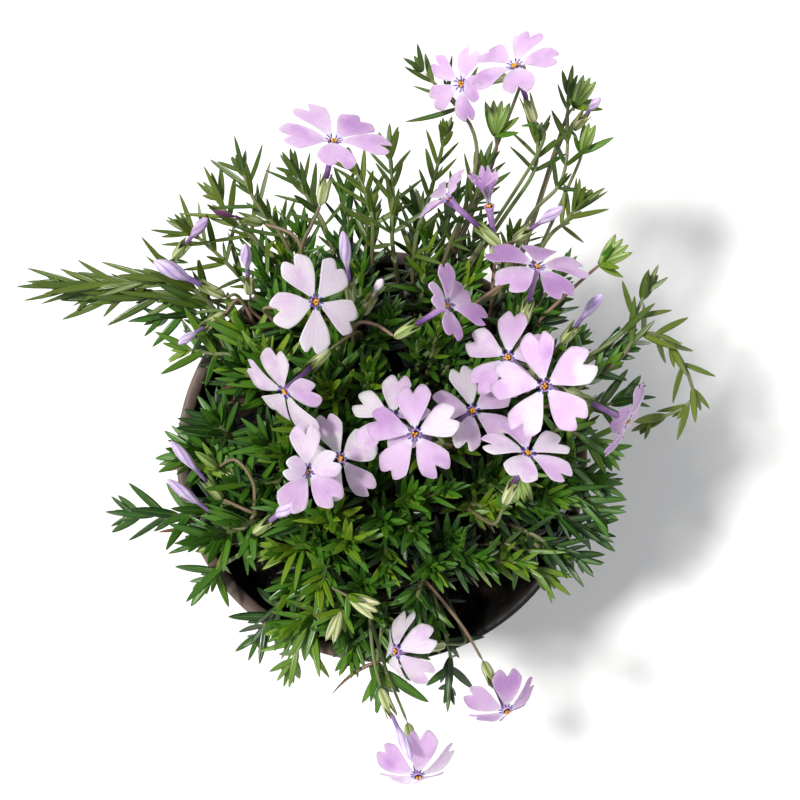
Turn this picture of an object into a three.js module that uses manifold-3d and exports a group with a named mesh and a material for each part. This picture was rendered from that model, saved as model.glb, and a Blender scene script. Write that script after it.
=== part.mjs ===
// Potted moss phlox: a creeping phlox in bloom, growing in a round nursery pot.
// Millimetres, +Z up. The origin is the centre of the pot's underside.
// Each rooted stem, with its leafy shoots, flower stalks and calyxes, is one spray.
// Each lilac flower and each closed bud is a piece of its own, seated in its calyx.

import * as THREE from "three";
import { mergeVertices } from "three/addons/utils/BufferGeometryUtils.js";
import Module from "manifold-3d";

const wasm = await Module();
wasm.setup();

// ---------- driving dimensions ----------

const POT_HEIGHT = 92;
const RIM_RADIUS = 52.5;
const RIM_WIDTH = 1.8;
const COLLAR_HEIGHT = 11;
const COLLAR_STEP = 1.6;
const FOOT_RADIUS = 38;
const WALL = 1.3;
const FLOOR = 2;
const POT_SIDES = 36;
const DRAIN_HOLES = 6;
const DRAIN_RADIUS = 4;
const DRAIN_CIRCLE = 29;

const GAP = 0.35;
const CURVE_STEPS = 50;

const SOIL_TOP = 78;
const SOIL_LUMP = 0.9;
const SOIL_SIDES = 20;

const SPRAYS = 18;
const ROOT_CIRCLE = 35;
const ROOT_RADIUS = 1.6;
const ROOT_DEPTH = 12;
const ROOT_HOLE = 2.1;
const CROWN_HEIGHT = 13;
const CROWN_SPREAD = 0.9;

const MAT_SHOOTS = 108;
const MAT_STEP = 2;
const MAT_CENTRE = { x: 2, y: 9 };
const MAT_HALF = { x: 52, y: 60 };
const MAT_TOP = 119;
const MAT_FALL = 15;
const MAT_JITTER = 4;

const SHOOT_RADIUS = 0.9;
const SHOOT_PAIRS = 11;
const STALK_RADIUS = 0.65;
const STALK_NECK = 7;
const NECK_SAG = 3;
const LOWEST_NECK = POT_HEIGHT + 5;
// where a stem's straight stretches meet, as shares of its length
const SHOOT_STATIONS = [0.1, 0.55];
const LONG_STATIONS = [0.08, 0.3, 0.48, 0.64, 0.8];
const STALK_STATIONS = [0.1, 0.55, 0.97];
const BENT_STATIONS = [0.1, 0.32, 0.55, 0.78, 0.97];

const LEAF_LENGTH = 12;
const LEAF_WIDTH = 2.1;
const LEAF_KEEL = 0.85;
const LEAF_WIDEST = 0.32;
// leaves open wide low on a shoot and close in towards its tip, in degrees
const LEAF_OPENING = { mat: [72, 30], long: [64, 32], arm: [34, 15], arch: [60, 32] };
const LEAF_OPENING_VARY = 16;
const BARE_SHARES = { mat: 0.25, long: 0.34 };
const LAST_LEAF = 0.93;
const LEAF_TURN_VARY = 0.7;
// how far a blade twists from lying square to its shoot to lying level, facing the light
const LEAF_LEVEL = 0.65;
const LEAF_SHRINK = 0.3;
const LEAF_SIZES = [0.85, 1.2];
const LEAF_CURLS = [-0.18, 0.16];
// every so many pairs, counted from the tip, are in these solids
const PAIR_STEPS = { mat: 5, long: 4, arm: 3, arch: 2 };

const CALYX_LENGTH = 7.5;
const CALYX_RADIUS = 1.45;
const SHUT_RADIUS = 1.1;
const SHUT_LENGTH = 8;
const SHUT_SPREAD = 16;
const CALYX_CUP = 3;
const TUBE_SHOWN = 8.5;
const TUBE_SUNK = 0.6;
const TUBE_RADIUS = 0.65;
const PETAL_THICKNESS = 0.7;
const PETAL_REACH = 11;
const PETAL_CLAW = 1.3;
// one petal's edge, as distance out from the centre and across from its middle
const PETAL_EDGE = [[7.6, -3.7], [10.7, -2.2], [8.7, 0], [10.7, 2.2], [7.6, 3.7]];
// petals steeper than this are narrower, so that they don't cross: the cosine of their rise
const PETAL_ROOM = 0.74;
const BUD_SHOWN = 13;
const BUD_RADIUS = 1.55;

// each kind of growth draws its own seeded numbers
const SEEDS = { long: 500, bloom: 600, bud: 700, head: 800, leaves: 1000 };

const GOLDEN_ANGLE = Math.PI * (3 - Math.sqrt(5));
const UP = new THREE.Vector3(0, 0, 1);

// Open flowers: centre of the face, the way it faces (turn about Z, tilt from vertical),
// its spin, how far the petals rise or fall (cup), and its radius. Petals near the fold's
// axis, an angle about Z, rise by the fold as well. A stalk may pass some places on its way.
const BLOOMS = [
  { x: -14, y: 36, z: 147, turn: 2, tilt: 35, spin: 123, cup: -2, reach: 11.4 },
  { x: -21.5, y: 16.5, z: 136, turn: 225, tilt: 58, spin: 159, cup: 0, reach: 11.7,
    by: [[-5, 28, 108], [-6, 30.5, 118]] },
  { x: -9, y: 1, z: 127, turn: 205, tilt: 34, spin: 102, cup: 6, reach: 11 },
  { x: -16.2, y: -1.5, z: 137, turn: 0, tilt: 8, spin: 95, cup: 0, reach: 10.4, fold: 56, axis: 0 },
  { x: 8, y: 7, z: 145, turn: 159, tilt: 24, spin: 92, cup: 4, reach: 11.2 },
  { x: 3, y: 10.5, z: 137, turn: 134, tilt: 34, spin: 82, cup: 8, reach: 10.2 },
  { x: 21, y: 12, z: 135, turn: 40, tilt: 30, spin: 106, cup: 8, reach: 10.4 },
  { x: 29, y: 24, z: 138, turn: 150, tilt: 28, spin: 80, cup: 10, reach: 10.6 },
  { x: 36, y: 17.5, z: 152, turn: 164, tilt: 24, spin: 99, cup: 6, reach: 12.2 },
  { x: 33, y: 2.6, z: 143, turn: 69, tilt: 52, spin: 100, cup: 3, reach: 11 },
  { x: 35, y: 44, z: 144, turn: 79, tilt: 54, spin: 79, cup: -4, reach: 11.6 },
  { x: 15, y: 35.6, z: 140, turn: 30, tilt: 56, spin: 112, cup: 4, reach: 9.6, fold: 28, axis: 142,
    by: [[-7, 27.8, 112], [-5.5, 32.5, 121], [-1, 32, 126]] },
  { x: -9.3, y: 68.7, z: 163, turn: 75, tilt: 50, spin: 125, cup: 4, reach: 12.1, fold: 10, axis: 143,
    by: [[-18.6, 46, 112], [-17.9, 50.4, 128], [-15, 53.4, 143]] },
  { x: 18.8, y: 87, z: 132, turn: 200, tilt: 46, spin: 62, cup: 2, reach: 8.9, fold: 20, axis: 162 },
  { x: 30, y: 88.3, z: 145, turn: 117, tilt: 46, spin: 67, cup: 6, reach: 10.2 },
  { x: 15.6, y: 59.3, z: 140, turn: 140, tilt: 74, spin: 60, cup: 20, reach: 7.8 },
  { x: 24.7, y: 58.2, z: 138, turn: 102, tilt: 50, spin: 20, cup: 70, reach: 9.4 },
  { x: 3.5, y: -45.4, z: 118, turn: 180, tilt: 49, spin: 101, cup: -33, reach: 10.5 },
  { x: 9, y: -77.2, z: 110, turn: 283, tilt: 42, spin: 82, cup: -30, reach: 11.6,
    by: [[-3, -38, 104], [1, -52, 102]] },
  { x: 30.5, y: -60.8, z: 112, turn: 297, tilt: 44, spin: 88, cup: -30, reach: 10.8,
    by: [[8, -27, 103], [13.3, -33, 104], [20.4, -42, 104]] },
  { x: 57.2, y: 9.6, z: 128, turn: 332, tilt: 72, spin: 86, cup: -4, reach: 9.9 },
];

// Closed buds: foot of the calyx, the way the bud points, and its length beyond the calyx.
const BUDS = [
  { x: -38.2, y: 39.8, z: 109, turn: 154, tilt: 58, shown: 13, by: [[-33.5, 37.6, 105]] },
  { x: -50.2, y: 49, z: 111, turn: 40, tilt: 43, shown: 11 },
  { x: -31.3, y: 39.9, z: 116, turn: 88, tilt: 32, shown: 12 },
  { x: -6.7, y: 37.5, z: 123, turn: 96, tilt: 42, shown: 15 },
  { x: -4.2, y: 35, z: 118, turn: 58, tilt: 41, shown: 6 },
  { x: -38.6, y: 35.6, z: 107, turn: 218, tilt: 54, shown: 8, by: [[-33.5, 37.6, 105]] },
  { x: -39.2, y: -9.8, z: 106, turn: 127, tilt: 58, shown: 14, by: [[-30.6, -13.4, 106]] },
  { x: -37.2, y: -16.9, z: 104, turn: 139, tilt: 61, shown: 14,
    by: [[-30.6, -13.4, 106], [-33.6, -17, 105]] },
  { x: -30.7, y: -17.7, z: 112, turn: 38, tilt: 50, shown: 10 },
  { x: 31.7, y: 52.3, z: 119, turn: 32, tilt: 37, shown: 12 },
  { x: 43.2, y: 28.3, z: 118, turn: 54, tilt: 39, shown: 13 },
  { x: 45.5, y: 78.6, z: 121, turn: 46, tilt: 28, shown: 7 },
  { x: -0.1, y: -56.2, z: 108, turn: 296, tilt: 62, shown: 12, by: [[-3, -38, 104], [-2, -48, 107]] },
  { x: -28.4, y: 56.9, z: 116, turn: 172, tilt: 43, shown: 8, by: [[-18.6, 46, 112], [-20.5, 53.5, 117]] },
];

// Green flower heads whose buds are still shut in their calyxes.
const GREEN_HEADS = [
  { x: 27, y: 77, z: 124, turn: 88, tilt: 58, calyxes: 4 },
  { x: 45.6, y: 83.5, z: 125, turn: 62, tilt: 46, calyxes: 3 },
  { x: 48, y: 73.6, z: 119, turn: 74, tilt: 44, calyxes: 2 },
  { x: 52.5, y: 47, z: 118, turn: 42, tilt: 60, calyxes: 4 },
  { x: 33, y: -3, z: 118, turn: 270, tilt: 56, calyxes: 4 },
  { x: -7.4, y: -32.9, z: 115, turn: 336, tilt: 66, calyxes: 3 },
  { x: -9.8, y: -36.8, z: 112, turn: 250, tilt: 62, calyxes: 2 },
  { x: -38.5, y: -21.4, z: 103, turn: 190, tilt: 62, calyxes: 1 },
  { x: -40.2, y: -2.1, z: 108, turn: 138, tilt: 50, calyxes: 1,
    by: [[-30.6, -13.4, 106], [-31, -5.6, 111], [-35.2, 0, 112]] },
];

// Long shoots that leave the cushion: the places they pass, their pairs of leaves, and the
// share of their length that is bare, where it isn't the usual one. The leaves of an arm lie
// close along it, and an arch bends over in the air.
const LONG_SHOOTS = [
  { pairs: 14, bare: 0.3, habit: "arm", by: [[-45, 41, 108], [-64, 43, 106], [-79, 43, 105]] },
  { pairs: 10, habit: "arm", by: [[-42, 37, 105], [-58, 40, 104], [-72, 40, 103]] },
  { pairs: 8, by: [[-36, -12, 103], [-50, -14, 103], [-62, -14, 101]] },
  { pairs: 8, habit: "arch", by: [[53, 21, 113], [62, 30, 115], [70, 28, 113], [76, 15, 109], [66, 9, 107]] },
  { pairs: 3, bare: 0.6, by: [[50, 25, 113], [59, 32, 116], [63, 40, 118]] },
  { pairs: 3, bare: 0.68, by: [[28, 56, 117], [36, 68, 122], [37, 76, 123]] },
  { pairs: 4, bare: 0.6, by: [[34, 55, 116], [43, 67, 122], [44, 86, 124]] },
  { pairs: 4, bare: 0.6, by: [[38, 50, 116], [44, 57, 118], [47, 61, 119]] },
  { pairs: 8, bare: 0.22, by: [[8, 50, 116], [12, 64, 121], [15, 76, 125]] },
  { pairs: 8, bare: 0.22, by: [[-22, 50, 111], [-30, 62, 117], [-33, 69, 117]] },
  { pairs: 8, bare: 0.22, by: [[-12, 52, 114], [-17, 62, 118], [-20, 68, 119]] },
  { pairs: 8, bare: 0.22, by: [[-2, 52, 115], [-3, 62, 119], [-6, 69, 120]] },
  { pairs: 8, bare: 0.22, by: [[3, 50, 115], [3, 63, 120], [2, 73, 121]] },
  { pairs: 8, bare: 0.22, by: [[17, 53, 116], [22, 62, 120], [24, 69, 121]] },
  { pairs: 7, bare: 0.22, by: [[-28, 50, 109], [-36, 58, 113], [-39, 63, 113]] },
  { pairs: 7, bare: 0.22, by: [[-34, 44, 106], [-42, 52, 110], [-46, 55, 111]] },
  { pairs: 4, bare: 0.5, by: [[-36, 34, 105], [-46, 36, 105], [-54, 35, 104]] },
  { pairs: 3, bare: 0.8, by: [[20, 60, 118], [22, 77, 123], [10, 91, 127]] },
  { pairs: 3, bare: 0.6, by: [[-34, 24, 106], [-42, 26, 106], [-48, 27, 105]] },
  { pairs: 6, by: [[0, -40, 103], [-1, -50, 101], [0, -58, 98]] },
  { pairs: 4, bare: 0.6, by: [[13, -34, 104], [17, -48, 100], [17, -58, 93]] },
  { pairs: 4, bare: 0.5, by: [[-22, -32, 103], [-28, -40, 100], [-31, -45, 97]] },
  { pairs: 4, bare: 0.5, by: [[-14, -36, 103], [-20, -46, 99], [-23, -52, 95]] },
  { pairs: 3, bare: 0.6, by: [[-33, -22, 104], [-40, -27, 102], [-43, -30, 100]] },
  { pairs: 6, by: [[40, 2, 108], [49, -3, 105], [54, -6, 103]] },
  { pairs: 6, by: [[39, -12, 105], [47, -16, 103], [52, -18, 101]] },
  { pairs: 6, by: [[42, 7, 110], [50, 5, 108], [55, 2, 106]] },
  { pairs: 6, by: [[41, -6, 107], [49, -10, 105], [54, -13, 103]] },
  { pairs: 6, by: [[36, -18, 104], [44, -23, 102], [49, -25, 100]] },
  { pairs: 5, by: [[30, -21, 104], [37, -26, 103], [41, -29, 101]] },
  { pairs: 5, by: [[42, 14, 112], [50, 19, 113], [54, 22, 113]] },
  { pairs: 5, by: [[44, 20, 111], [52, 25, 112], [57, 27, 112]] },
  { pairs: 5, by: [[46, 12, 109], [54, 13, 108], [60, 15, 107]] },
];

// Places where the cushion is bare: the dark hollows between its shoots.
const HOLLOWS = [
  { x: 5, y: 45, radius: 9 },
  { x: 28, y: -40, radius: 13 },
  { x: -50, y: 14, radius: 10 },
  { x: -33, y: 11, radius: 6 },
  { x: -37, y: -34, radius: 12 },
];

const FINISHES = {
  pot: { color: 0x6f605a, roughness: 0.65 },
  soil: { color: 0x2b211b, roughness: 0.95 },
  spray: { color: 0x3f7a26, roughness: 0.45 },
  bloom: { color: 0xdcb8e4, roughness: 0.6 },
  bud: { color: 0xb7a2dc, roughness: 0.55 },
};

// ---------- small tools ----------

const radians = THREE.MathUtils.degToRad;

function seeded(number) {
  let state = (number * 7919 + 104729) % 233280;
  return () => {
    state = (state * 9301 + 49297) % 233280;
    return state / 233280;
  };
}

function mix(a, b, share) {
  return a + (b - a) * share;
}

// a + b * s, as a new point
function along(a, b, s) {
  return a.clone().addScaledVector(b, s);
}

// The way that a flower or bud faces, from its turn about Z and its tilt from vertical.
function facing({ turn, tilt }) {
  const flat = Math.sin(radians(tilt));
  return new THREE.Vector3(
    flat * Math.cos(radians(turn)),
    flat * Math.sin(radians(turn)),
    Math.cos(radians(tilt)),
  );
}

// Two unit vectors square to a way, which turn counter-clockwise about it.
function squareTo(way) {
  const helper = Math.abs(way.x) < 0.7 ? new THREE.Vector3(1, 0, 0) : new THREE.Vector3(0, 1, 0);
  const side = helper.clone().addScaledVector(way, -helper.dot(way)).normalize();
  return [side, way.clone().cross(side)];
}

function ring(centre, side, face, radius, corners, twist = 0) {
  return Array.from({ length: corners }, (_, i) => {
    const angle = twist + (i * 2 * Math.PI) / corners;
    return along(centre, side, radius * Math.cos(angle)).addScaledVector(face, radius * Math.sin(angle));
  });
}

function skin(points, faces) {
  const geometry = new THREE.BufferGeometry().setFromPoints(points);
  geometry.setIndex(faces.flat());
  return geometry;
}

// Faces between two rings, given by their first corners. One of them may be a single point.
function band(from, fromSize, to, toSize) {
  const faces = [];
  const size = Math.max(fromSize, toSize);
  for (let j = 0; j < size; j += 1) {
    const k = (j + 1) % size;
    if (fromSize > 1) faces.push([from + j, from + k, toSize > 1 ? to + j : to]);
    if (toSize > 1) faces.push([fromSize > 1 ? from + k : from, to + k, to + j]);
  }
  return faces;
}

// A closed skin through rings that turn counter-clockwise about the way they follow.
// A first or last ring of one point is a tip.
function loft(rings) {
  const starts = rings.map((_, i) => rings.slice(0, i).flat().length);
  const last = rings.length - 1;
  const faces = [];
  for (let i = 1; i <= last; i += 1) {
    faces.push(...band(starts[i - 1], rings[i - 1].length, starts[i], rings[i].length));
  }
  for (let j = 1; j < rings[0].length - 1; j += 1) faces.push([0, j + 1, j]);
  for (let j = 1; j < rings[last].length - 1; j += 1) {
    faces.push([starts[last], starts[last] + j, starts[last] + j + 1]);
  }
  return skin(rings.flat(), faces);
}

function solid(geometry) {
  const bare = geometry.clone();
  bare.deleteAttribute("normal");
  bare.deleteAttribute("uv");
  const merged = mergeVertices(bare);
  return new wasm.Manifold(
    new wasm.Mesh({
      numProp: 3,
      vertProperties: new Float32Array(merged.attributes.position.array),
      triVerts: new Uint32Array(merged.index.array),
    }),
  );
}

function geometryOf(body) {
  const { vertProperties, triVerts } = body.getMesh();
  const geometry = new THREE.BufferGeometry();
  geometry.setAttribute("position", new THREE.BufferAttribute(vertProperties, 3));
  geometry.setIndex(new THREE.BufferAttribute(triVerts, 1));
  return geometry;
}

// One body from many that meet. A hollow that they shut in is filled, and a loose scrap dropped.
function fuse(geometries) {
  const whole = geometries.map(solid).reduce((body, piece) => body.add(piece));
  const skins = whole.decompose();
  return skins.reduce((best, skin) => (skin.volume() > best.volume() ? skin : best));
}

function node(name, geometry, finish) {
  const mesh = new THREE.Mesh(geometry, new THREE.MeshStandardMaterial({ ...finish, metalness: 0 }));
  mesh.name = name;
  return mesh;
}

function numbered(word, index) {
  return `${word}_${String(index + 1).padStart(2, "0")}`;
}

// ---------- pot ----------

// Inner radius of the pot's wall at a height.
function potInside(z) {
  const top = RIM_RADIUS - COLLAR_STEP - WALL;
  return mix(FOOT_RADIUS - WALL, top, z / POT_HEIGHT);
}

function potBody() {
  const under = POT_HEIGHT - COLLAR_HEIGHT;
  const outside = (z) => potInside(z) + WALL;
  const profile = [
    [0, 0],
    [FOOT_RADIUS - 1, 0],
    [FOOT_RADIUS, 1],
    [outside(under), under],
    [outside(under) + COLLAR_STEP, under + 0.8],
    [RIM_RADIUS, POT_HEIGHT - 0.8],
    [RIM_RADIUS - 0.5, POT_HEIGHT],
    [RIM_RADIUS - RIM_WIDTH, POT_HEIGHT],
    [potInside(POT_HEIGHT - 2), POT_HEIGHT - 2],
    [potInside(FLOOR + 1), FLOOR + 1],
    [potInside(FLOOR) - 1, FLOOR],
    [0, FLOOR],
  ];
  const shell = new THREE.LatheGeometry(
    profile.map(([r, z]) => new THREE.Vector2(r, z)),
    POT_SIDES,
  );
  shell.rotateX(Math.PI / 2);
  let body = solid(shell);
  for (let i = 0; i < DRAIN_HOLES; i += 1) {
    const angle = (i * 2 * Math.PI) / DRAIN_HOLES;
    const drill = new THREE.CylinderGeometry(DRAIN_RADIUS, DRAIN_RADIUS, 3 * FLOOR, 10);
    drill.rotateX(Math.PI / 2);
    drill.translate(DRAIN_CIRCLE * Math.cos(angle), DRAIN_CIRCLE * Math.sin(angle), FLOOR / 2);
    body = body.subtract(solid(drill));
  }
  return geometryOf(body);
}

// ---------- soil ----------

// The lumpy top of the soil at a place.
function soilTop(x, y) {
  const lumps = Math.sin(x * 0.31 + 1) * Math.cos(y * 0.27) + Math.sin((x + y) * 0.17);
  return SOIL_TOP + SOIL_LUMP * lumps;
}

function soilBody() {
  const rings = [0.5, 1].map((share) => share * (potInside(SOIL_TOP) - GAP));
  const low = FLOOR + GAP;
  const circle = (r, height) =>
    Array.from({ length: SOIL_SIDES }, (_, i) => {
      const angle = (i * 2 * Math.PI) / SOIL_SIDES;
      const x = r * Math.cos(angle);
      const y = r * Math.sin(angle);
      return new THREE.Vector3(x, y, height ?? soilTop(x, y));
    });
  const foot = (potInside(low) - 1 - GAP) * Math.cos(Math.PI / POT_SIDES);
  const side = rings[1] * Math.cos(Math.PI / POT_SIDES);
  const top = [new THREE.Vector3(0, 0, soilTop(0, 0))];
  let body = solid(loft([circle(foot, low), circle(side), circle(rings[0]), top]));
  for (let i = 0; i < SPRAYS; i += 1) {
    const { x, y } = rootPlace(i);
    const [side, face] = squareTo(UP);
    const hole = [SOIL_TOP - ROOT_DEPTH - GAP, SOIL_TOP + CROWN_HEIGHT].map((z) =>
      ring(new THREE.Vector3(x, y, z), side, face, ROOT_HOLE, 5),
    );
    body = body.subtract(solid(loft(hole)));
  }
  return geometryOf(body);
}

// ---------- where things grow ----------

function rootPlace(i) {
  const r = ROOT_CIRCLE * Math.sqrt((i + 0.5) / SPRAYS);
  return new THREE.Vector3(r * Math.cos(i * GOLDEN_ANGLE), r * Math.sin(i * GOLDEN_ANGLE), SOIL_TOP);
}

// The spray that a place above the pot belongs to: the cushion spreads wider than its roots.
function sprayNear(x, y) {
  const share = ROOT_CIRCLE / ((MAT_HALF.x + MAT_HALF.y) / 2);
  const at = new THREE.Vector3((x - MAT_CENTRE.x) * share, (y - MAT_CENTRE.y) * share, SOIL_TOP);
  let best = 0;
  for (let i = 1; i < SPRAYS; i += 1) {
    if (rootPlace(i).distanceTo(at) < rootPlace(best).distanceTo(at)) best = i;
  }
  return best;
}

// Where a shoot leaves the root stem of its spray, on the side that it leans to.
function crownOf(i, toward, draw) {
  const root = rootPlace(i);
  const angle = Math.atan2(toward.y - root.y, toward.x - root.x);
  const out = new THREE.Vector3(Math.cos(angle), Math.sin(angle), 0);
  const crown = along(root, out, CROWN_SPREAD);
  crown.z += mix(0.08, 0.98, draw()) * CROWN_HEIGHT;
  return crown;
}

function curveBy(points) {
  return new THREE.CatmullRomCurve3(points, false, "catmullrom", 0.5);
}

// Frames along a curve, carried forward without twist.
function framesAlong(curve, steps) {
  const frames = [];
  let side = null;
  for (let i = 0; i <= steps; i += 1) {
    const way = curve.getTangent(i / steps);
    side = side ? side.clone().addScaledVector(way, -side.dot(way)).normalize() : squareTo(way)[0];
    frames.push({ point: curve.getPoint(i / steps), way, side, face: way.clone().cross(side) });
  }
  return frames;
}

// A place along a shoot, on the straight stretches that its stem is made of.
function onStem({ curve, stations }, share) {
  const marks = [0, ...stations, 1];
  const next = marks.findIndex((mark) => mark >= share);
  const before = marks[next - 1];
  const part = (share - before) / (marks[next] - before);
  return curve.getPoint(before).lerp(curve.getPoint(marks[next]), part);
}

function matShoots() {
  const shoots = [];
  for (let i = 0; i < MAT_SHOOTS; i += 1) {
    const draw = seeded(i);
    const r = Math.sqrt((i + 0.5) / MAT_SHOOTS);
    const angle = i * GOLDEN_ANGLE;
    const tip = new THREE.Vector3(
      MAT_CENTRE.x + MAT_HALF.x * r * Math.cos(angle) + MAT_JITTER * (draw() - 0.5),
      MAT_CENTRE.y + MAT_HALF.y * r * Math.sin(angle) + MAT_JITTER * (draw() - 0.5),
      MAT_TOP - MAT_FALL * r * r + 2 * MAT_JITTER * (draw() - 0.5),
    );
    const bare = HOLLOWS.some((h) => Math.hypot(tip.x - h.x, tip.y - h.y) < h.radius);
    if (bare) continue;
    const spray = sprayNear(tip.x, tip.y);
    const crown = crownOf(spray, tip, draw);
    const bend = new THREE.Vector3(
      mix(crown.x, tip.x, 0.5),
      mix(crown.y, tip.y, 0.5),
      mix(crown.z, tip.z, mix(0.6, 0.85, r)),
    );
    shoots.push({
      key: i,
      spray,
      habit: "mat",
      pairs: SHOOT_PAIRS,
      bare: BARE_SHARES.mat,
      stations: SHOOT_STATIONS,
      curve: curveBy([crown, bend, tip]),
      radius: SHOOT_RADIUS,
    });
  }
  return shoots;
}

function longShoots() {
  return LONG_SHOOTS.map(({ pairs, by, bare = BARE_SHARES.long, habit = "long" }, i) => {
    const draw = seeded(SEEDS.long + i);
    const spray = sprayNear(by[0][0], by[0][1]);
    const path = by.map((p) => new THREE.Vector3(...p));
    const points = [crownOf(spray, path[0], draw), ...path];
    return {
      key: SEEDS.long + i,
      spray,
      habit,
      pairs,
      bare,
      stations: LONG_STATIONS,
      curve: curveBy(points),
      radius: SHOOT_RADIUS,
    };
  });
}

// A stalk from the crown of a spray to the foot of a calyx. It passes the places given, or
// enters the calyx along it.
function stalkTo(foot, way, key, by) {
  if (by) {
    const path = by.map((p) => new THREE.Vector3(...p));
    const spray = sprayNear(path[0].x, path[0].y);
    const crown = crownOf(spray, path[0], seeded(key));
    const curve = curveBy([crown, ...path, foot]);
    return { key, spray, stations: BENT_STATIONS, curve, radius: STALK_RADIUS };
  }
  const spray = sprayNear(foot.x, foot.y);
  const crown = crownOf(spray, foot, seeded(key));
  const neck = along(foot, way, -STALK_NECK);
  neck.z = Math.max(neck.z - NECK_SAG, LOWEST_NECK);
  const bend = crown.clone().lerp(neck, 0.5);
  bend.z = mix(crown.z, neck.z, 0.7);
  return {
    key,
    spray,
    stations: STALK_STATIONS,
    curve: curveBy([crown, bend, neck, foot]),
    radius: STALK_RADIUS,
  };
}

function calyxFoot(bloom) {
  const face = new THREE.Vector3(bloom.x, bloom.y, bloom.z);
  return along(face, facing(bloom), -(TUBE_SHOWN + CALYX_LENGTH));
}

// Every stalk, with the calyx or calyxes that it carries.
function stalks() {
  const list = BLOOMS.map((bloom, i) => {
    const way = facing(bloom);
    const foot = calyxFoot(bloom);
    return { ...stalkTo(foot, way, SEEDS.bloom + i, bloom.by), calyxes: [{ foot, way, open: true }] };
  });
  BUDS.forEach((bud, i) => {
    const way = facing(bud);
    const foot = new THREE.Vector3(bud.x, bud.y, bud.z);
    list.push({ ...stalkTo(foot, way, SEEDS.bud + i, bud.by), calyxes: [{ foot, way, open: true }] });
  });
  GREEN_HEADS.forEach((head, i) => {
    const foot = new THREE.Vector3(head.x, head.y, head.z);
    const way = facing(head);
    const calyxes = Array.from({ length: head.calyxes }, (_, k) => {
      const turn = head.turn + SHUT_SPREAD * (k - (head.calyxes - 1) / 2);
      return { foot, way: facing({ turn, tilt: head.tilt }), open: false };
    });
    list.push({ ...stalkTo(foot, way, SEEDS.head + i, head.by), calyxes });
  });
  return list;
}

// ---------- green pieces ----------

// Rings along a stem, which starts in a point inside what it grows from.
function stemRings({ curve, radius, stations }, corners) {
  const frames = framesAlong(curve, CURVE_STEPS);
  const rings = stations.map((share) => {
    const { point, side, face } = frames[Math.round(CURVE_STEPS * share)];
    return ring(point, side, face, radius * mix(1.1, 0.8, share), corners);
  });
  return [[frames[0].point], ...rings];
}

// A leafy stem is three-sided, and ends in a point.
function leafyStem(shoot) {
  return loft([...stemRings(shoot, 3), [shoot.curve.getPoint(1)]]);
}

function rootStem(i) {
  const low = rootPlace(i);
  low.z = SOIL_TOP - ROOT_DEPTH;
  const crown = rootPlace(i);
  crown.z += CROWN_HEIGHT;
  const [side, face] = squareTo(UP);
  return loft([
    ring(low, side, face, ROOT_RADIUS * 0.5, 5),
    ring(rootPlace(i), side, face, ROOT_RADIUS, 5),
    ring(crown, side, face, ROOT_RADIUS * 0.7, 5),
  ]);
}

// Four-sided rings of a calyx: a cup for an open flower, or shut to a point.
function calyxRings({ foot, way, open }) {
  const [side, face] = squareTo(way);
  const at = (h, r) => ring(along(foot, way, h), side, face, r, 4);
  const end = open ? CALYX_LENGTH - CALYX_CUP : SHUT_LENGTH;
  const radius = open ? CALYX_RADIUS : SHUT_RADIUS;
  return [
    at(CALYX_LENGTH * 0.3, radius * 0.95),
    at(CALYX_LENGTH * (open ? 1 : 0.75), radius),
    [along(foot, way, end)],
  ];
}

// A stalk runs on into its calyx. The other calyxes of a head start inside the end of the stalk.
function stalk(shoot) {
  const [first, ...others] = shoot.calyxes;
  const lead = loft([...stemRings(shoot, 4), ...calyxRings(first)]);
  const start = ({ foot, way }) => [along(foot, way, -0.3)];
  return [lead, ...others.map((calyx) => loft([start(calyx), ...calyxRings(calyx)]))];
}

// A leaf blade, flat above and keeled below, which curls up or down along its length.
function leafBlade({ root, way, across, above, length, curl }) {
  const at = (s) => along(along(root, way, length * s), above, length * curl * s * s);
  const middle = at(LEAF_WIDEST);
  const widest = [
    along(middle, across, LEAF_WIDTH / 2),
    along(middle, across, -LEAF_WIDTH / 2),
    along(middle, above, -LEAF_KEEL),
  ];
  return loft([[at(0)], widest, [at(1)]]);
}

// ---------- keeping pieces clear of each other ----------

const BLOOM_MARGIN = 0.6;
const PETAL_MARGIN = 1.4;
const TUBE_MARGIN = 1.9;
const WALL_MARGIN = 1.8;
const RIM_MARGIN = 1.6;
const SOIL_MARGIN = 3.5;

// Nearest distance between the stretches a-b and c-d.
function stretchDistance(a, b, c, d) {
  const u = b.clone().sub(a);
  const v = d.clone().sub(c);
  const w = a.clone().sub(c);
  const uu = u.dot(u);
  const vv = v.dot(v);
  const uv = u.dot(v);
  const uw = u.dot(w);
  const vw = v.dot(w);
  const clamp = (value) => Math.min(1, Math.max(0, value));
  const spread = uu * vv - uv * uv;
  let s = spread > 1e-9 ? clamp((uv * vw - vv * uw) / spread) : 0;
  const t = clamp((uv * s + vw) / vv);
  s = clamp((uv * t - uw) / uu);
  return along(a, u, s).distanceTo(along(c, v, t));
}

// True where a point lies in, or very near, an open flower other than by its calyx.
function inBloom(point) {
  return BLOOMS.some((bloom) => {
    const way = facing(bloom);
    const from = point.clone().sub(new THREE.Vector3(bloom.x, bloom.y, bloom.z));
    const height = from.dot(way);
    const sideways = along(from, way, -height);
    const out = sideways.length();
    const rise = riseToward(bloom, sideways.normalize());
    const reached = out * Math.cos(rise) + height * Math.sin(rise);
    const off = height * Math.cos(rise) - out * Math.sin(rise);
    const petals = reached < bloom.reach + BLOOM_MARGIN && reached > 0 && Math.abs(off) < PETAL_MARGIN;
    const tube = out < TUBE_MARGIN && height < 0 && height > -TUBE_SHOWN - TUBE_SUNK;
    return petals || tube;
  });
}

// True where the upper end of a shoot would meet an open flower.
function meetsFlower({ curve }) {
  return [0.8, 0.9, 1].some((share) => inBloom(curve.getPoint(share)));
}

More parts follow.
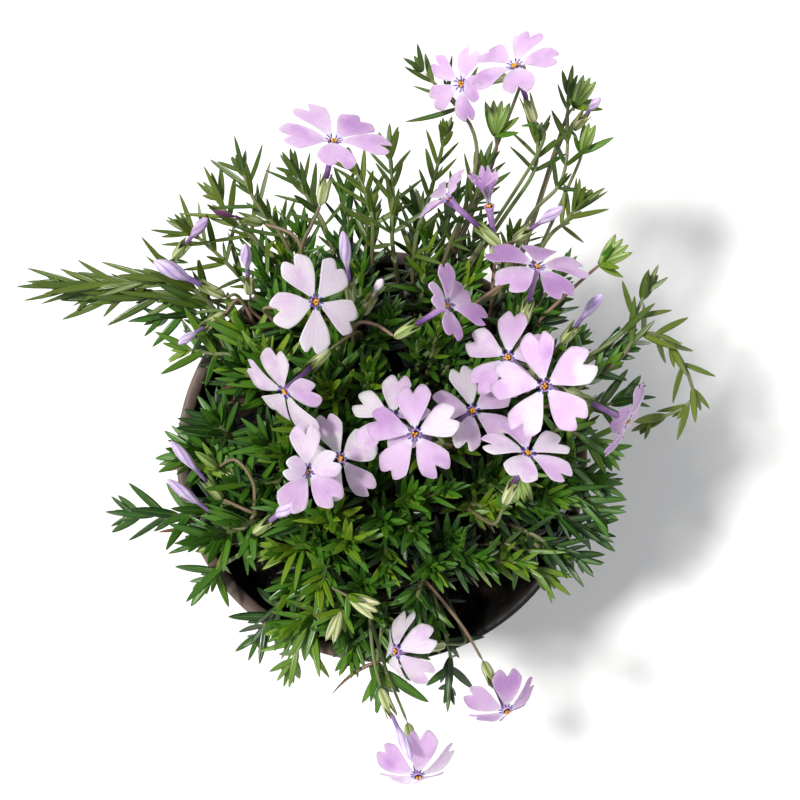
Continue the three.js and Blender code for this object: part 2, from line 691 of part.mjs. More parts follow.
// True where a point lies in, or very near, the pot's wall or the soil.
function inPot(point) {
  const out = Math.hypot(point.x, point.y);
  const inside = potInside(point.z);
  if (point.z > POT_HEIGHT + RIM_MARGIN) return false;
  const inSoil = out < inside && point.z < SOIL_TOP + SOIL_MARGIN;
  return inSoil || (out > inside - WALL_MARGIN && out < RIM_RADIUS + WALL_MARGIN);
}

// What is already in place: round stretches of a shoot, each in the node of its spray.
const taken = [];

function take(owner, a, b, radius) {
  taken.push({ owner, a, b, radius });
}

function isClear(owner, a, b, radius) {
  return !taken.some((other) => {
    if (other.owner.key === owner.key) return false;
    const gap = other.owner.spray === owner.spray ? 0 : GAP;
    return stretchDistance(a, b, other.a, other.b) < radius + other.radius + gap;
  });
}

function leafIsClear(owner, leaf) {
  const points = [0.15, 0.3, 0.45, 0.6, 0.8, 1].map((s) =>
    along(along(leaf.root, leaf.way, leaf.length * s), leaf.above, leaf.length * leaf.curl * s * s),
  );
  if (points.some((p) => inBloom(p) || inPot(p))) return false;
  const middle = points[2];
  const half = LEAF_WIDTH / 2;
  return isClear(owner, points[0], middle, half) && isClear(owner, middle, points[5], half * 0.8);
}

function takeLeaf(owner, leaf) {
  const middle = along(
    along(leaf.root, leaf.way, leaf.length * 0.45),
    leaf.above,
    leaf.length * leaf.curl * 0.2,
  );
  const tip = along(along(leaf.root, leaf.way, leaf.length), leaf.above, leaf.length * leaf.curl);
  take(owner, leaf.root, middle, LEAF_WIDTH / 2);
  take(owner, middle, tip, LEAF_WIDTH * 0.4);
}

// ---------- leaves ----------

// A leaf on a frame of its shoot: turn about the shoot, opening from it, length and curl.
function leafAt(frame, turn, opening, length, curl) {
  const out = along(
    frame.side.clone().multiplyScalar(Math.cos(turn)),
    frame.face,
    Math.sin(turn),
  );
  const way = frame.way.clone().multiplyScalar(Math.cos(opening)).addScaledVector(out, Math.sin(opening));
  const level = UP.clone().cross(way).normalize();
  const own = frame.way.clone().cross(way).normalize();
  if (own.dot(level) < 0) own.negate();
  const across = own.lerp(level, LEAF_LEVEL).normalize();
  return { root: frame.point, way, across, above: way.clone().cross(across), length, curl };
}

// Pairs of leaves up a shoot, each pair a quarter turn from the last.
function leavesOf(shoot, keep) {
  const draw = seeded(shoot.key + SEEDS.leaves);
  const frames = framesAlong(shoot.curve, CURVE_STEPS);
  const [low, high] = LEAF_OPENING[shoot.habit];
  const shrink = shoot.habit === "arm" ? 0 : LEAF_SHRINK;
  const leaves = [];
  for (let i = 0; i < shoot.pairs; i += 1) {
    const up = i / (shoot.pairs - 1);
    const share = mix(shoot.bare, LAST_LEAF, up);
    const frame = { ...frames[Math.round(CURVE_STEPS * share)], point: onStem(shoot, share) };
    const spin = draw() * LEAF_TURN_VARY + i * (Math.PI / 2);
    for (let side = 0; side < 2; side += 1) {
      const opening = radians(mix(low, high, up) + LEAF_OPENING_VARY * (draw() - 0.5));
      const length = LEAF_LENGTH * (1 - shrink * up * up) * mix(...LEAF_SIZES, draw());
      const curl = mix(...LEAF_CURLS, draw());
      if (keep(i)) leaves.push([frame, spin + side * Math.PI, opening, length, curl]);
    }
  }
  return leaves;
}

const TURNS_TO_TRY = [0, 0.6, -0.6, 1.2, -1.2];

function placeLeaf(owner, [frame, turn, opening, length, curl]) {
  for (const share of [1, 0.7]) {
    for (const more of TURNS_TO_TRY) {
      const leaf = leafAt(frame, turn + more, opening, length * share, curl);
      if (leafIsClear(owner, leaf)) {
        takeLeaf(owner, leaf);
        return leaf;
      }
    }
  }
  return null;
}

// ---------- flowers ----------

// A spoke of a flower's face, at an angle about Z that is counted before the flower tilts.
function spokeOf(bloom, angle) {
  const turn = radians(bloom.turn);
  const flatY = new THREE.Vector3(-Math.sin(turn), Math.cos(turn), 0);
  const flatX = flatY.clone().cross(facing(bloom));
  return flatX.multiplyScalar(Math.cos(angle - turn)).addScaledVector(flatY, Math.sin(angle - turn));
}

// How steeply a flower's petals rise toward a spoke: its cup, and more near its fold's axis.
function riseToward({ cup, fold = 0, axis = 0, ...bloom }, spoke) {
  const toward = spoke.dot(spokeOf(bloom, radians(axis)));
  return radians(cup + fold * toward * toward);
}

// A flower: a tube that opens into five wedge petals, each notched at its end.
function bloomBody(bloom) {
  const centre = new THREE.Vector3(bloom.x, bloom.y, bloom.z);
  const way = facing(bloom);
  const scale = bloom.reach / PETAL_REACH;
  const fifth = (2 * Math.PI) / 5;
  const rim = [];
  const drops = [];
  const throat = [];
  const put = (out, rise, across, r, a) => {
    const middle = along(centre, out, r * scale * Math.cos(rise));
    rim.push(along(along(middle, way, r * scale * Math.sin(rise)), across, a * scale));
    drops.push(PETAL_THICKNESS / Math.cos(rise));
  };
  for (let i = 0; i < 5; i += 1) {
    const angle = radians(bloom.spin) + i * fifth;
    const out = spokeOf(bloom, angle);
    const across = spokeOf(bloom, angle + Math.PI / 2);
    const between = spokeOf(bloom, angle - fifth / 2);
    const rise = riseToward(bloom, out);
    const narrow = Math.min(1, Math.cos(rise) / PETAL_ROOM);
    put(between, riseToward(bloom, between), across, PETAL_CLAW, 0);
    PETAL_EDGE.forEach(([r, a]) => put(out, rise, across, r, a * narrow));
    throat.push(between);
  }
  const deepest = Math.max(...drops);
  const under = rim.map((point, i) => along(point, way, -drops[i]));
  const ringAt = (h, r) => throat.map((between) => along(along(centre, way, h), between, r));
  const tube = [ringAt(-TUBE_SHOWN - TUBE_SUNK, TUBE_RADIUS), ringAt(-deepest - 0.7, TUBE_RADIUS * 1.3)];
  const points = [...tube.flat(), ...under, ...rim, centre];
  const size = rim.length;
  const faces = [...band(0, 5, 5, 5), ...band(10, size, 10 + size, size)];
  faces.push(...band(10 + size, size, 10 + 2 * size, 1));
  faces.push([0, 2, 1], [0, 3, 2], [0, 4, 3]);
  const each = size / 5;
  for (let i = 0; i < 5; i += 1) {
    const a = 5 + i;
    const b = 5 + ((i + 1) % 5);
    const at = (k) => 10 + ((i * each + k) % size);
    for (let k = 0; k < each; k += 1) faces.push([k < each / 2 ? a : b, at(k + 1), at(k)]);
    faces.push([a, b, at(each / 2)]);
  }
  return skin(points, faces);
}

function budBody(bud) {
  const foot = new THREE.Vector3(bud.x, bud.y, bud.z);
  const way = facing(bud);
  const [side, face] = squareTo(way);
  const fat = BUD_RADIUS * Math.min(1, bud.shown / BUD_SHOWN + 0.25);
  const at = (share, r, twist) =>
    ring(along(foot, way, CALYX_LENGTH + bud.shown * share), side, face, r, 5, twist);
  const seat = -TUBE_SUNK / bud.shown;
  const tip = along(foot, way, CALYX_LENGTH + bud.shown);
  return loft([
    at(seat, TUBE_RADIUS, 0),
    at(0.3, 0.9, 0.2),
    at(0.62, fat, 0.6),
    at(0.85, fat * 0.7, 1),
    [tip],
  ]);
}

// ---------- assembly ----------

const mat = matShoots();
const cushion = mat.filter((shoot, i) => i % MAT_STEP === 0 && !meetsFlower(shoot));
const growth = [...cushion, ...longShoots(), ...stalks()];

growth.forEach((shoot) => {
  const points = [0, ...shoot.stations, 1].map((share) => shoot.curve.getPoint(share));
  points.slice(1).forEach((p, i) => take(shoot, points[i], p, shoot.radius));
  const { calyxes = [] } = shoot;
  calyxes.forEach(({ foot, way }) => take(shoot, foot, along(foot, way, CALYX_LENGTH + 1), CALYX_RADIUS));
});
BUDS.forEach((bud, i) => {
  const foot = new THREE.Vector3(bud.x, bud.y, bud.z);
  const tip = along(foot, facing(bud), CALYX_LENGTH + bud.shown);
  take({ key: numbered("bud", i) }, along(foot, facing(bud), CALYX_LENGTH), tip, BUD_RADIUS);
});

const greens = Array.from({ length: SPRAYS }, (_, i) => [rootStem(i)]);
growth.forEach((shoot) => {
  greens[shoot.spray].push(...(shoot.calyxes ? stalk(shoot) : [leafyStem(shoot)]));
});
growth.forEach((shoot) => {
  if (shoot.calyxes) return;
  const last = shoot.pairs - 1;
  const keep = (i) => (last - i) % PAIR_STEPS[shoot.habit] === 0 && i > 0;
  leavesOf(shoot, keep).forEach((leaf) => {
    const placed = placeLeaf(shoot, leaf);
    if (placed) greens[shoot.spray].push(leafBlade(placed));
  });
});

const group = new THREE.Group();
group.add(node("pot", potBody(), FINISHES.pot));
group.add(node("soil", soilBody(), FINISHES.soil));
greens.forEach((pieces, i) => {
  group.add(node(numbered("spray", i), geometryOf(fuse(pieces)), FINISHES.spray));
});
BLOOMS.forEach((bloom, i) => group.add(node(numbered("bloom", i), bloomBody(bloom), FINISHES.bloom)));
BUDS.forEach((bud, i) => group.add(node(numbered("bud", i), budBody(bud), FINISHES.bud)));

export default group;
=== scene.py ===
import functools
import math
from typing import NamedTuple

import bpy
import numpy as np
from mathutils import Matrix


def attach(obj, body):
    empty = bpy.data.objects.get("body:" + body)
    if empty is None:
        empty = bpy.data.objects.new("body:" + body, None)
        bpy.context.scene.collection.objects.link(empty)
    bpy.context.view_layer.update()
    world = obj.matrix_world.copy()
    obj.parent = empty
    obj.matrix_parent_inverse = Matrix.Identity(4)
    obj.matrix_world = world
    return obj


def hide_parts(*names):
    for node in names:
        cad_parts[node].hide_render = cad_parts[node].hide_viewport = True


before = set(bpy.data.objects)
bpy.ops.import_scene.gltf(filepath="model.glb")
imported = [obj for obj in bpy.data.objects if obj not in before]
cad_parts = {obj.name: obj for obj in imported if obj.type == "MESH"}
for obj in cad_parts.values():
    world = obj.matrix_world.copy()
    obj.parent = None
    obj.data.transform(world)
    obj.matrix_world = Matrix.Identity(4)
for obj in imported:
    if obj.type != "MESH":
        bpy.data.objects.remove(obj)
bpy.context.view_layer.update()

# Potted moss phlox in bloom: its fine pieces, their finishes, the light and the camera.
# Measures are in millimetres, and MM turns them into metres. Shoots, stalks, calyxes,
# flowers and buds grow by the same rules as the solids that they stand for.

MM = 0.001

# ---------- driving values ----------

POT_HEIGHT = 92
RIM_RADIUS = 52.5
RIM_WIDTH = 1.8
COLLAR_HEIGHT = 11
COLLAR_STEP = 1.6
FOOT_RADIUS = 38
WALL = 1.3
FLOOR = 2
POT_SIDES = 128
DRAIN_HOLES = 6
DRAIN_RADIUS = 4
DRAIN_CIRCLE = 29
DRAIN_SIDES = 32
# the side of the rim that is painted dark as shade, in degrees about Z
RIM_SHADE_TURN = -47
RIM_SHADE_SPREAD = 36

SOIL_TOP = 78
SOIL_GAP = 0.35
SOIL_LUMP = 0.9
SOIL_SIDES = 96
SOIL_RINGS = 34
CRUMBS = 420

SPRAYS = 18
ROOT_CIRCLE = 35
ROOT_RADIUS = 1.6
ROOT_SIDES = 10
ROOT_DEPTH = 12
CROWN_HEIGHT = 13
CROWN_SPREAD = 0.9
CROWN_RISE = (0.08, 0.98)

MAT_SHOOTS = 108
MAT_CENTRE = (2, 9)
MAT_HALF = (52, 60)
MAT_TOP = 119
MAT_FALL = 15
MAT_JITTER = 4
# how much deeper the cushion's painted shade lies toward +X, away from the light
SHADE_LEAN = 0.08

CURVE_STEPS = 50
STEM_STATIONS = 22
STEM_SIDES = 7
STEM_TAPER = (1.15, 0.7)
SHOOT_RADIUS = 0.7
LONG_SHOOT_RADIUS = 0.55
SHOOT_PAIRS = 11
STALK_RADIUS = 0.5
STALK_PAIRS = 2
STALK_NECK = 7
NECK_SAG = 3
LOWEST_NECK = POT_HEIGHT + 5

LEAF_LENGTH = 12
LEAF_WIDTH = 2.15
# leaves open wide low on a shoot and close in towards its tip, in degrees
LEAF_OPENING = {"mat": (72, 30), "long": (64, 32), "arm": (34, 15), "stalk": (60, 40)}
LEAF_OPENING_VARY = 16
MAT_BARE = 0.25
STALK_BARE = 0.35
LEAF_LAST = 0.93
LEAF_TURN_VARY = 0.7
# how far a blade twists from lying square to its shoot to lying level, facing the light
LEAF_LEVEL = 0.65
LEAF_SHRINK = 0.3
LEAF_SIZES = (0.85, 1.2)
LEAF_CURLS = (-0.18, 0.16)
LEAF_WIDTHS = (0.7, 1.15)
# leaves get finer toward +X and slimmer toward +Y, from a place and over a distance
LEFT_TO_RIGHT_SIZES = (1.08, 0.76)
FINER_FROM, FINER_OVER = -36, 52
SLIM_SHARE = 0.68
SLIM_FROM, SLIM_OVER = 36, 14
LEAST_LONG_SIZE = 0.9
STALK_LEAF_SIZE = 0.55
TIP_LEAVES = 5
TIP_OPENING = (12, 46)
TIP_LENGTHS = (4, 7.5)
LEAF_STATIONS = np.array([0, 0.05, 0.14, 0.3, 0.5, 0.7, 0.85, 0.95])
# a leaf's cross-section, from its right edge over its channel to its left edge and keel
LEAF_RING = np.array([[1, 0.06], [0.45, 0.14], [0, 0.0], [-0.45, 0.14], [-1, 0.06], [0, -0.2]])
TURNS_TO_TRY = (0, 0.6, -0.6, 1.2, -1.2)
# tones beyond the usual 0 to 1: a leaf that has dried, and the first of the olive ones
DRY = 1.5
OLIVE = 2
# long shoots that end further toward +Y than this are olive
OLIVE_BEYOND = 50

CALYX_LENGTH = 7.5
CALYX_RADIUS = 1.3
SHUT_RADIUS = 1.1
SHUT_LENGTH = 8.4
SHUT_SPREAD = 16
BRACTS = 4
BRACT_LENGTH = 8.5
BRACT_OPENING = (34, 62)
TUBE_SHOWN = 8.5
TUBE_SUNK = 0.6
PETAL_THICKNESS = 0.32
PETAL_ROOM = 0.74
TUBE_SIDES = 15
THROAT_RADIUS = 0.8
BUD_RADIUS = 1.32

SEEDS = {"long": 500, "bloom": 600, "bud": 700, "head": 800, "leaves": 1000, "petals": 2000}
GOLDEN_ANGLE = math.pi * (3 - math.sqrt(5))


class Flower(NamedTuple):
    """An open flower: centre of its face, the way it faces (turn about Z, tilt from
    vertical), spin, how far its petals rise (cup), radius and how violet it is, partly its own
    colour and partly painted shade. Petals near the fold's axis rise by the fold as well.
    Its stalk may pass some places."""

    at: tuple
    turn: float
    tilt: float
    spin: float
    cup: float
    reach: float
    violet: float
    fold: float = 0
    axis: float = 0
    by: tuple = ()


class Bud(NamedTuple):
    """A closed bud: foot of its calyx, the way it points, its length past the calyx, its
    share of the usual girth, and how far it has faded."""

    at: tuple
    turn: float
    tilt: float
    shown: float
    by: tuple = ()
    girth: float = 1
    faded: float = 0


class Head(NamedTuple):
    """A green head whose buds are still shut: foot, way, how many calyxes, how cream."""

    at: tuple
    turn: float
    tilt: float
    calyxes: int
    by: tuple = ()
    cream: float = 0.1


class Shoot(NamedTuple):
    """A long shoot: its pairs of leaves, the places it passes, its bare share, whether
    its leaves lie close along it like those of an arm, and whether they are olive."""

    pairs: int
    by: list
    bare: float = 0.34
    arm: bool = False
    olive: bool = False


class Growth(NamedTuple):
    """A shoot or stalk as it grows: its kind, seed, spray, curve, radius, pairs of leaves
    and bare share, whether it is olive or shows from above, its calyxes and their cream."""

    kind: str
    key: int
    spray: int
    curve: list
    radius: float
    pairs: int
    bare: float
    olive: bool = False
    shown: bool = False
    calyxes: tuple = ()
    cream: float = 0


# a flower's violet is partly its own colour and partly painted shade for flowers that lie in shade
FLOWERS = [
    Flower((-14, 36, 147), 2, 35, 123, -2, 11.4, -0.1),
    Flower((-21.5, 16.5, 136), 225, 58, 159, 0, 11.7, 0.25, by=((-5, 28, 108), (-6, 30.5, 118))),
    Flower((-9, 1, 127), 205, 34, 102, 6, 11, 0.2),
    Flower((-16.2, -1.5, 137), 0, 8, 95, 0, 10.4, 0.3, fold=56),
    Flower((8, 7, 145), 159, 24, 92, 4, 11.2, 0.5),
    Flower((3, 10.5, 137), 134, 34, 82, 8, 10.2, 0.4),
    Flower((21, 12, 135), 40, 30, 106, 8, 10.4, 0.25),
    Flower((29, 24, 138), 150, 28, 80, 10, 10.6, 0.7),
    Flower((36, 17.5, 152), 164, 24, 99, 6, 12.2, 0.35),
    Flower((33, 2.6, 143), 69, 52, 100, 3, 11, 0.4),
    Flower((35, 44, 144), 79, 54, 79, -4, 11.6, 0.85),
    Flower((15, 35.6, 140), 30, 56, 112, 4, 9.6, 0.9, fold=28, axis=142,
           by=((-7, 27.8, 112), (-5.5, 32.5, 121), (-1, 32, 126))),
    Flower((-9.3, 68.7, 163), 75, 50, 125, 4, 12.1, 0.5, fold=10, axis=143,
           by=((-18.6, 46, 112), (-17.9, 50.4, 128), (-15, 53.4, 143))),
    Flower((18.8, 87, 132), 200, 46, 62, 2, 8.9, 0.7, fold=20, axis=162),
    Flower((30, 88.3, 145), 117, 46, 67, 6, 10.2, 0.65),
    Flower((15.6, 59.3, 140), 140, 74, 60, 20, 7.8, 0.7),
    Flower((24.7, 58.2, 138), 102, 50, 20, 70, 9.4, 0.85),
    Flower((3.5, -45.4, 118), 180, 49, 101, -33, 10.5, 0.4),
    Flower((9, -77.2, 110), 283, 42, 82, -30, 11.6, 0.5, by=((-3, -38, 104), (1, -52, 102))),
    Flower((30.5, -60.8, 112), 297, 44, 88, -30, 10.8, 1,
           by=((8, -27, 103), (13.3, -33, 104), (20.4, -42, 104))),
    Flower((57.2, 9.6, 128), 332, 72, 86, -4, 9.9, 0.85),
]

BUDS = [
    Bud((-38.2, 39.8, 109), 154, 58, 13, by=((-33.5, 37.6, 105),), girth=1.45),
    Bud((-50.2, 49, 111), 40, 43, 11, faded=0.4),
    Bud((-31.3, 39.9, 116), 88, 32, 12),
    Bud((-6.7, 37.5, 123), 96, 42, 15),
    Bud((-4.2, 35, 118), 58, 41, 6, girth=1.15, faded=-0.6),
    Bud((-38.6, 35.6, 107), 218, 54, 8, by=((-33.5, 37.6, 105),)),
    Bud((-39.2, -9.8, 106), 127, 58, 14, by=((-30.6, -13.4, 106),)),
    Bud((-37.2, -16.9, 104), 139, 61, 14, by=((-30.6, -13.4, 106), (-33.6, -17, 105))),
    Bud((-30.7, -17.7, 112), 38, 50, 10, girth=1.3),
    Bud((31.7, 52.3, 119), 32, 37, 12),
    Bud((43.2, 28.3, 118), 54, 39, 13),
    Bud((45.5, 78.6, 121), 46, 28, 7),
    Bud((-0.1, -56.2, 108), 296, 62, 12, by=((-3, -38, 104), (-2, -48, 107))),
    Bud((-28.4, 56.9, 116), 172, 43, 8, by=((-18.6, 46, 112), (-20.5, 53.5, 117)), girth=0.6, faded=1),
]

GREEN_HEADS = [
    Head((27, 77, 124), 88, 58, 4),
    Head((45.6, 83.5, 125), 62, 46, 3),
    Head((48, 73.6, 119), 74, 44, 2),
    Head((52.5, 47, 118), 42, 60, 4),
    Head((33, -3, 118), 270, 56, 4),
    Head((-7.4, -32.9, 115), 336, 66, 3, cream=0.9),
    Head((-9.8, -36.8, 112), 250, 62, 2, cream=0.9),
    Head((-38.5, -21.4, 103), 190, 62, 1),
    Head((-40.2, -2.1, 108), 138, 50, 1, by=((-30.6, -13.4, 106), (-31, -5.6, 111), (-35.2, 0, 112))),
]

LONG_SHOOTS = [
    Shoot(14, [(-45, 41, 108), (-64, 43, 106), (-79, 43, 105)], bare=0.3, arm=True, olive=True),
    Shoot(10, [(-42, 37, 105), (-58, 40, 104), (-72, 40, 103)], arm=True, olive=True),
    Shoot(8, [(-36, -12, 103), (-50, -14, 103), (-62, -14, 101)]),
    Shoot(8, [(53, 21, 113), (62, 30, 115), (70, 28, 113), (76, 15, 109), (66, 9, 107)], olive=True),
    Shoot(3, [(50, 25, 113), (59, 32, 116), (63, 40, 118)], bare=0.6, olive=True),
    Shoot(3, [(28, 56, 117), (36, 68, 122), (37, 76, 123)], bare=0.68),
    Shoot(4, [(34, 55, 116), (43, 67, 122), (44, 86, 124)], bare=0.6),
    Shoot(4, [(38, 50, 116), (44, 57, 118), (47, 61, 119)], bare=0.6),
    Shoot(8, [(8, 50, 116), (12, 64, 121), (15, 76, 125)], bare=0.22),
    Shoot(8, [(-22, 50, 111), (-30, 62, 117), (-33, 69, 117)], bare=0.22),
    Shoot(8, [(-12, 52, 114), (-17, 62, 118), (-20, 68, 119)], bare=0.22),
    Shoot(8, [(-2, 52, 115), (-3, 62, 119), (-6, 69, 120)], bare=0.22),
    Shoot(8, [(3, 50, 115), (3, 63, 120), (2, 73, 121)], bare=0.22),
    Shoot(8, [(17, 53, 116), (22, 62, 120), (24, 69, 121)], bare=0.22),
    Shoot(7, [(-28, 50, 109), (-36, 58, 113), (-39, 63, 113)], bare=0.22),
    Shoot(7, [(-34, 44, 106), (-42, 52, 110), (-46, 55, 111)], bare=0.22),
    Shoot(4, [(-36, 34, 105), (-46, 36, 105), (-54, 35, 104)], bare=0.5),
    Shoot(3, [(20, 60, 118), (22, 77, 123), (10, 91, 127)], bare=0.8),
    Shoot(3, [(-34, 24, 106), (-42, 26, 106), (-48, 27, 105)], bare=0.6),
    Shoot(6, [(0, -40, 103), (-1, -50, 101), (0, -58, 98)]),
    Shoot(4, [(13, -34, 104), (17, -48, 100), (17, -58, 93)], bare=0.6),
    Shoot(4, [(-22, -32, 103), (-28, -40, 100), (-31, -45, 97)], bare=0.5),
    Shoot(4, [(-14, -36, 103), (-20, -46, 99), (-23, -52, 95)], bare=0.5),
    Shoot(3, [(-33, -22, 104), (-40, -27, 102), (-43, -30, 100)], bare=0.6),
    Shoot(6, [(40, 2, 108), (49, -3, 105), (54, -6, 103)]),
    Shoot(6, [(39, -12, 105), (47, -16, 103), (52, -18, 101)]),
    Shoot(6, [(42, 7, 110), (50, 5, 108), (55, 2, 106)]),
    Shoot(6, [(41, -6, 107), (49, -10, 105), (54, -13, 103)]),
    Shoot(6, [(36, -18, 104), (44, -23, 102), (49, -25, 100)]),
    Shoot(5, [(30, -21, 104), (37, -26, 103), (41, -29, 101)]),
    Shoot(5, [(42, 14, 112), (50, 19, 113), (54, 22, 113)]),
    Shoot(5, [(44, 20, 111), (52, 25, 112), (57, 27, 112)]),
    Shoot(5, [(46, 12, 109), (54, 13, 108), (60, 15, 107)]),
]

# Places where the cushion is bare: the dark hollows between its shoots (x, y, radius).
HOLLOWS = [(5, 45, 9), (28, -40, 13), (-50, 14, 10), (-33, 11, 6), (-37, -34, 12)]

# Leaves that stand by themselves, two of them dried and two broad ones low on the stalks
# in front: foot, turn about Z, tilt, length, curl, sway, width and tone.
LONE_LEAVES = [
    ((-0.4, -50.4, 103), 188, 84, 13, -0.35, 0.55, 1.1, DRY),
    ((-47, -17.5, 104), 178, 84, 8, 0.1, 0.1, 1.1, DRY),
    ((1.2, -53.2, 101), 319, 98, 14, -0.15, 0.05, 2.7, 0.6),
    ((-2.6, -51, 101), 286, 98, 11, -0.2, 0.1, 2.3, 0.4),
]

# ---------- small tools ----------


def vec(*xyz):
    return np.array(xyz, float)


def unit(way):
    return way / np.linalg.norm(way)


def mix(low, high, share):
    return low + (high - low) * share


def held(value):
    """A value kept from 0 to 1."""
    return min(1, max(0, value))


def seeded(number):
    """A source of repeatable numbers from 0 to 1."""
    state = (number * 7919 + 104729) % 233280

    def draw():
        nonlocal state
        state = (state * 9301 + 49297) % 233280
        return state / 233280

    return draw


def facing(turn, tilt):
    turn, tilt = math.radians(turn), math.radians(tilt)
    return vec(math.sin(tilt) * math.cos(turn), math.sin(tilt) * math.sin(turn), math.cos(tilt))


def aimed(thing):
    """Where a flower, bud or head is, and the way it points."""
    return vec(*thing.at), facing(thing.turn, thing.tilt)


def square_to(way):
    """Two unit vectors square to a way, which turn counter-clockwise about it."""
    helper = vec(1, 0, 0) if abs(way[0]) < 0.7 else vec(0, 1, 0)
    side = unit(helper - way * (helper @ way))
    return side, np.cross(way, side)


UP = vec(0, 0, 1)


def circle(centre, side, face, radius, corners, twist=0.0):
    """A ring of points. The radius may be one number or one for each corner."""
    angles = twist + np.arange(corners) * 2 * math.pi / corners
    spokes = np.outer(np.cos(angles), side) + np.outer(np.sin(angles), face)
    return centre + spokes * np.broadcast_to(radius, corners)[:, None]


def turned(foot, way, profile, corners):
    """Rings about a way, by their radius and height on it. A radius of nought is a tip."""
    side, face = square_to(way)
    return [circle(foot + way * z, side, face, r, corners if r else 1) for r, z in profile]


def curve_points(through, shares):
    """Places along a smooth curve through some points, at shares of its length."""
    through = np.array(through, float)
    ends = 2 * through[0] - through[1], 2 * through[-1] - through[-2]
    padded = np.vstack([ends[0], through, ends[1]])
    places = np.clip(shares, 0, 1) * (len(through) - 1)
    step = np.minimum(places.astype(int), len(through) - 2)
    t = (places - step)[:, None]
    before, start, end, after = (padded[step + k] for k in range(4))
    leave, arrive = (end - before) / 2, (after - start) / 2
    return (
        start
        + leave * t
        + (3 * (end - start) - 2 * leave - arrive) * t**2
        + (2 * (start - end) + leave + arrive) * t**3
    )


def frames_along(through, shares):
    """Point, way, side and face at places along a curve, carried forward without twist."""
    shares = np.asarray(shares, float)
    points = curve_points(through, shares)
    ways = curve_points(through, shares + 1e-4) - curve_points(through, shares - 1e-4)
    ways /= np.linalg.norm(ways, axis=1)[:, None]
    sides = [square_to(ways[0])[0]]
    for way in ways[1:]:
        sides.append(unit(sides[-1] - way * (sides[-1] @ way)))
    sides = np.array(sides)
    return points, ways, sides, np.cross(ways, sides)


# ---------- closed forms ----------


@functools.lru_cache(maxsize=None)
def loft_faces(sizes):
    """Faces of a closed form through rings of these sizes. A ring of one point is a tip."""
    starts = np.cumsum((0,) + sizes).tolist()
    faces = []
    for i in range(len(sizes) - 1):
        a, b = starts[i], starts[i + 1]
        columns = max(sizes[i], sizes[i + 1])
        for j in range(columns):
            k = (j + 1) % columns
            if sizes[i] == 1:
                faces.append((a, b + k, b + j))
            elif sizes[i + 1] == 1:
                faces.append((a + j, a + k, b))
            else:
                faces.append((a + j, a + k, b + k, b + j))
    if sizes[0] > 1:
        faces.append(tuple(reversed(range(sizes[0]))))
    if sizes[-1] > 1:
        faces.append(tuple(range(starts[-2], starts[-1])))
    return faces


@functools.lru_cache(maxsize=None)
def sheet_faces(rows, columns):
    """Faces of a thin closed sheet between an upper and a lower grid of points."""

    def corner(side, row, column):
        return side * rows * columns + row * columns + column

    faces = []
    for i in range(rows - 1):
        for j in range(columns - 1):
            quad = ((i, j), (i + 1, j), (i + 1, j + 1), (i, j + 1))
            faces.append(tuple(corner(0, *place) for place in quad))
            faces.append(tuple(corner(1, *place) for place in reversed(quad)))
    border = [(i, 0) for i in range(rows - 1)]
    border += [(rows - 1, j) for j in range(columns - 1)]
    border += [(i, columns - 1) for i in range(rows - 1, 0, -1)]
    border += [(0, j) for j in range(columns - 1, 0, -1)]
    for a, b in zip(border, border[1:] + border[:1]):
        faces.append((corner(0, *a), corner(1, *a), corner(1, *b), corner(0, *b)))
    return faces


def new_mesh(name, points, faces):
    made = bpy.data.meshes.new(name)
    made.from_pydata((np.vstack(points) * MM).tolist(), [], faces)
    return made


def add_object(name, data):
    made = bpy.data.objects.new(name, data)
    bpy.context.scene.collection.objects.link(made)
    return made


class Pile:
    """Closed forms gathered into one mesh. Each point keeps its lay on its own form."""

    def __init__(self, *finishes):
        self.finishes = finishes
        self.points, self.lays, self.faces, self.kinds = [], [], [], []
        self.size = 0

    def add(self, points, faces, finish, lay):
        self.points.append(points)
        self.lays.append(np.broadcast_to(lay, (len(points), 3)))
        self.faces.extend([tuple(c + self.size for c in face) for face in faces])
        self.kinds.extend([self.finishes.index(finish)] * len(faces))
        self.size += len(points)

    def loft(self, rings, finish, lays):
        """Rings turn counter-clockwise about their way; lays has one row for each point."""
        faces = loft_faces(tuple(len(ring) for ring in rings))
        self.add(np.vstack(rings), faces, finish, lays)

    def build(self, name, stands_for):
        mesh = new_mesh(name, self.points, self.faces)
        lay = mesh.attributes.new("lay", "FLOAT_VECTOR", "POINT")
        lay.data.foreach_set("vector", np.vstack(self.lays).astype(np.float32).ravel())
        for finish in self.finishes:
            mesh.materials.append(FINISHES[finish])
        mesh.polygons.foreach_set("material_index", self.kinds)
        mesh.shade_smooth()
        mesh.validate()
        piece = add_object(name, mesh)
        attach(piece, "root")
        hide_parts(stands_for)
        return piece


def lays_of(rings, across, along, tone):
    """One lay for each point of some rings: across by column, along by ring, and a tone."""
    rows = []
    for ring, share in zip(rings, along):
        columns = across if len(ring) > 1 else [0]
        rows += [(column, share, tone) for column in columns]
    return np.array(rows, float)


# ---------- finishes ----------

BLACK = (0, 0, 0)
WHITE = (1, 1, 1)


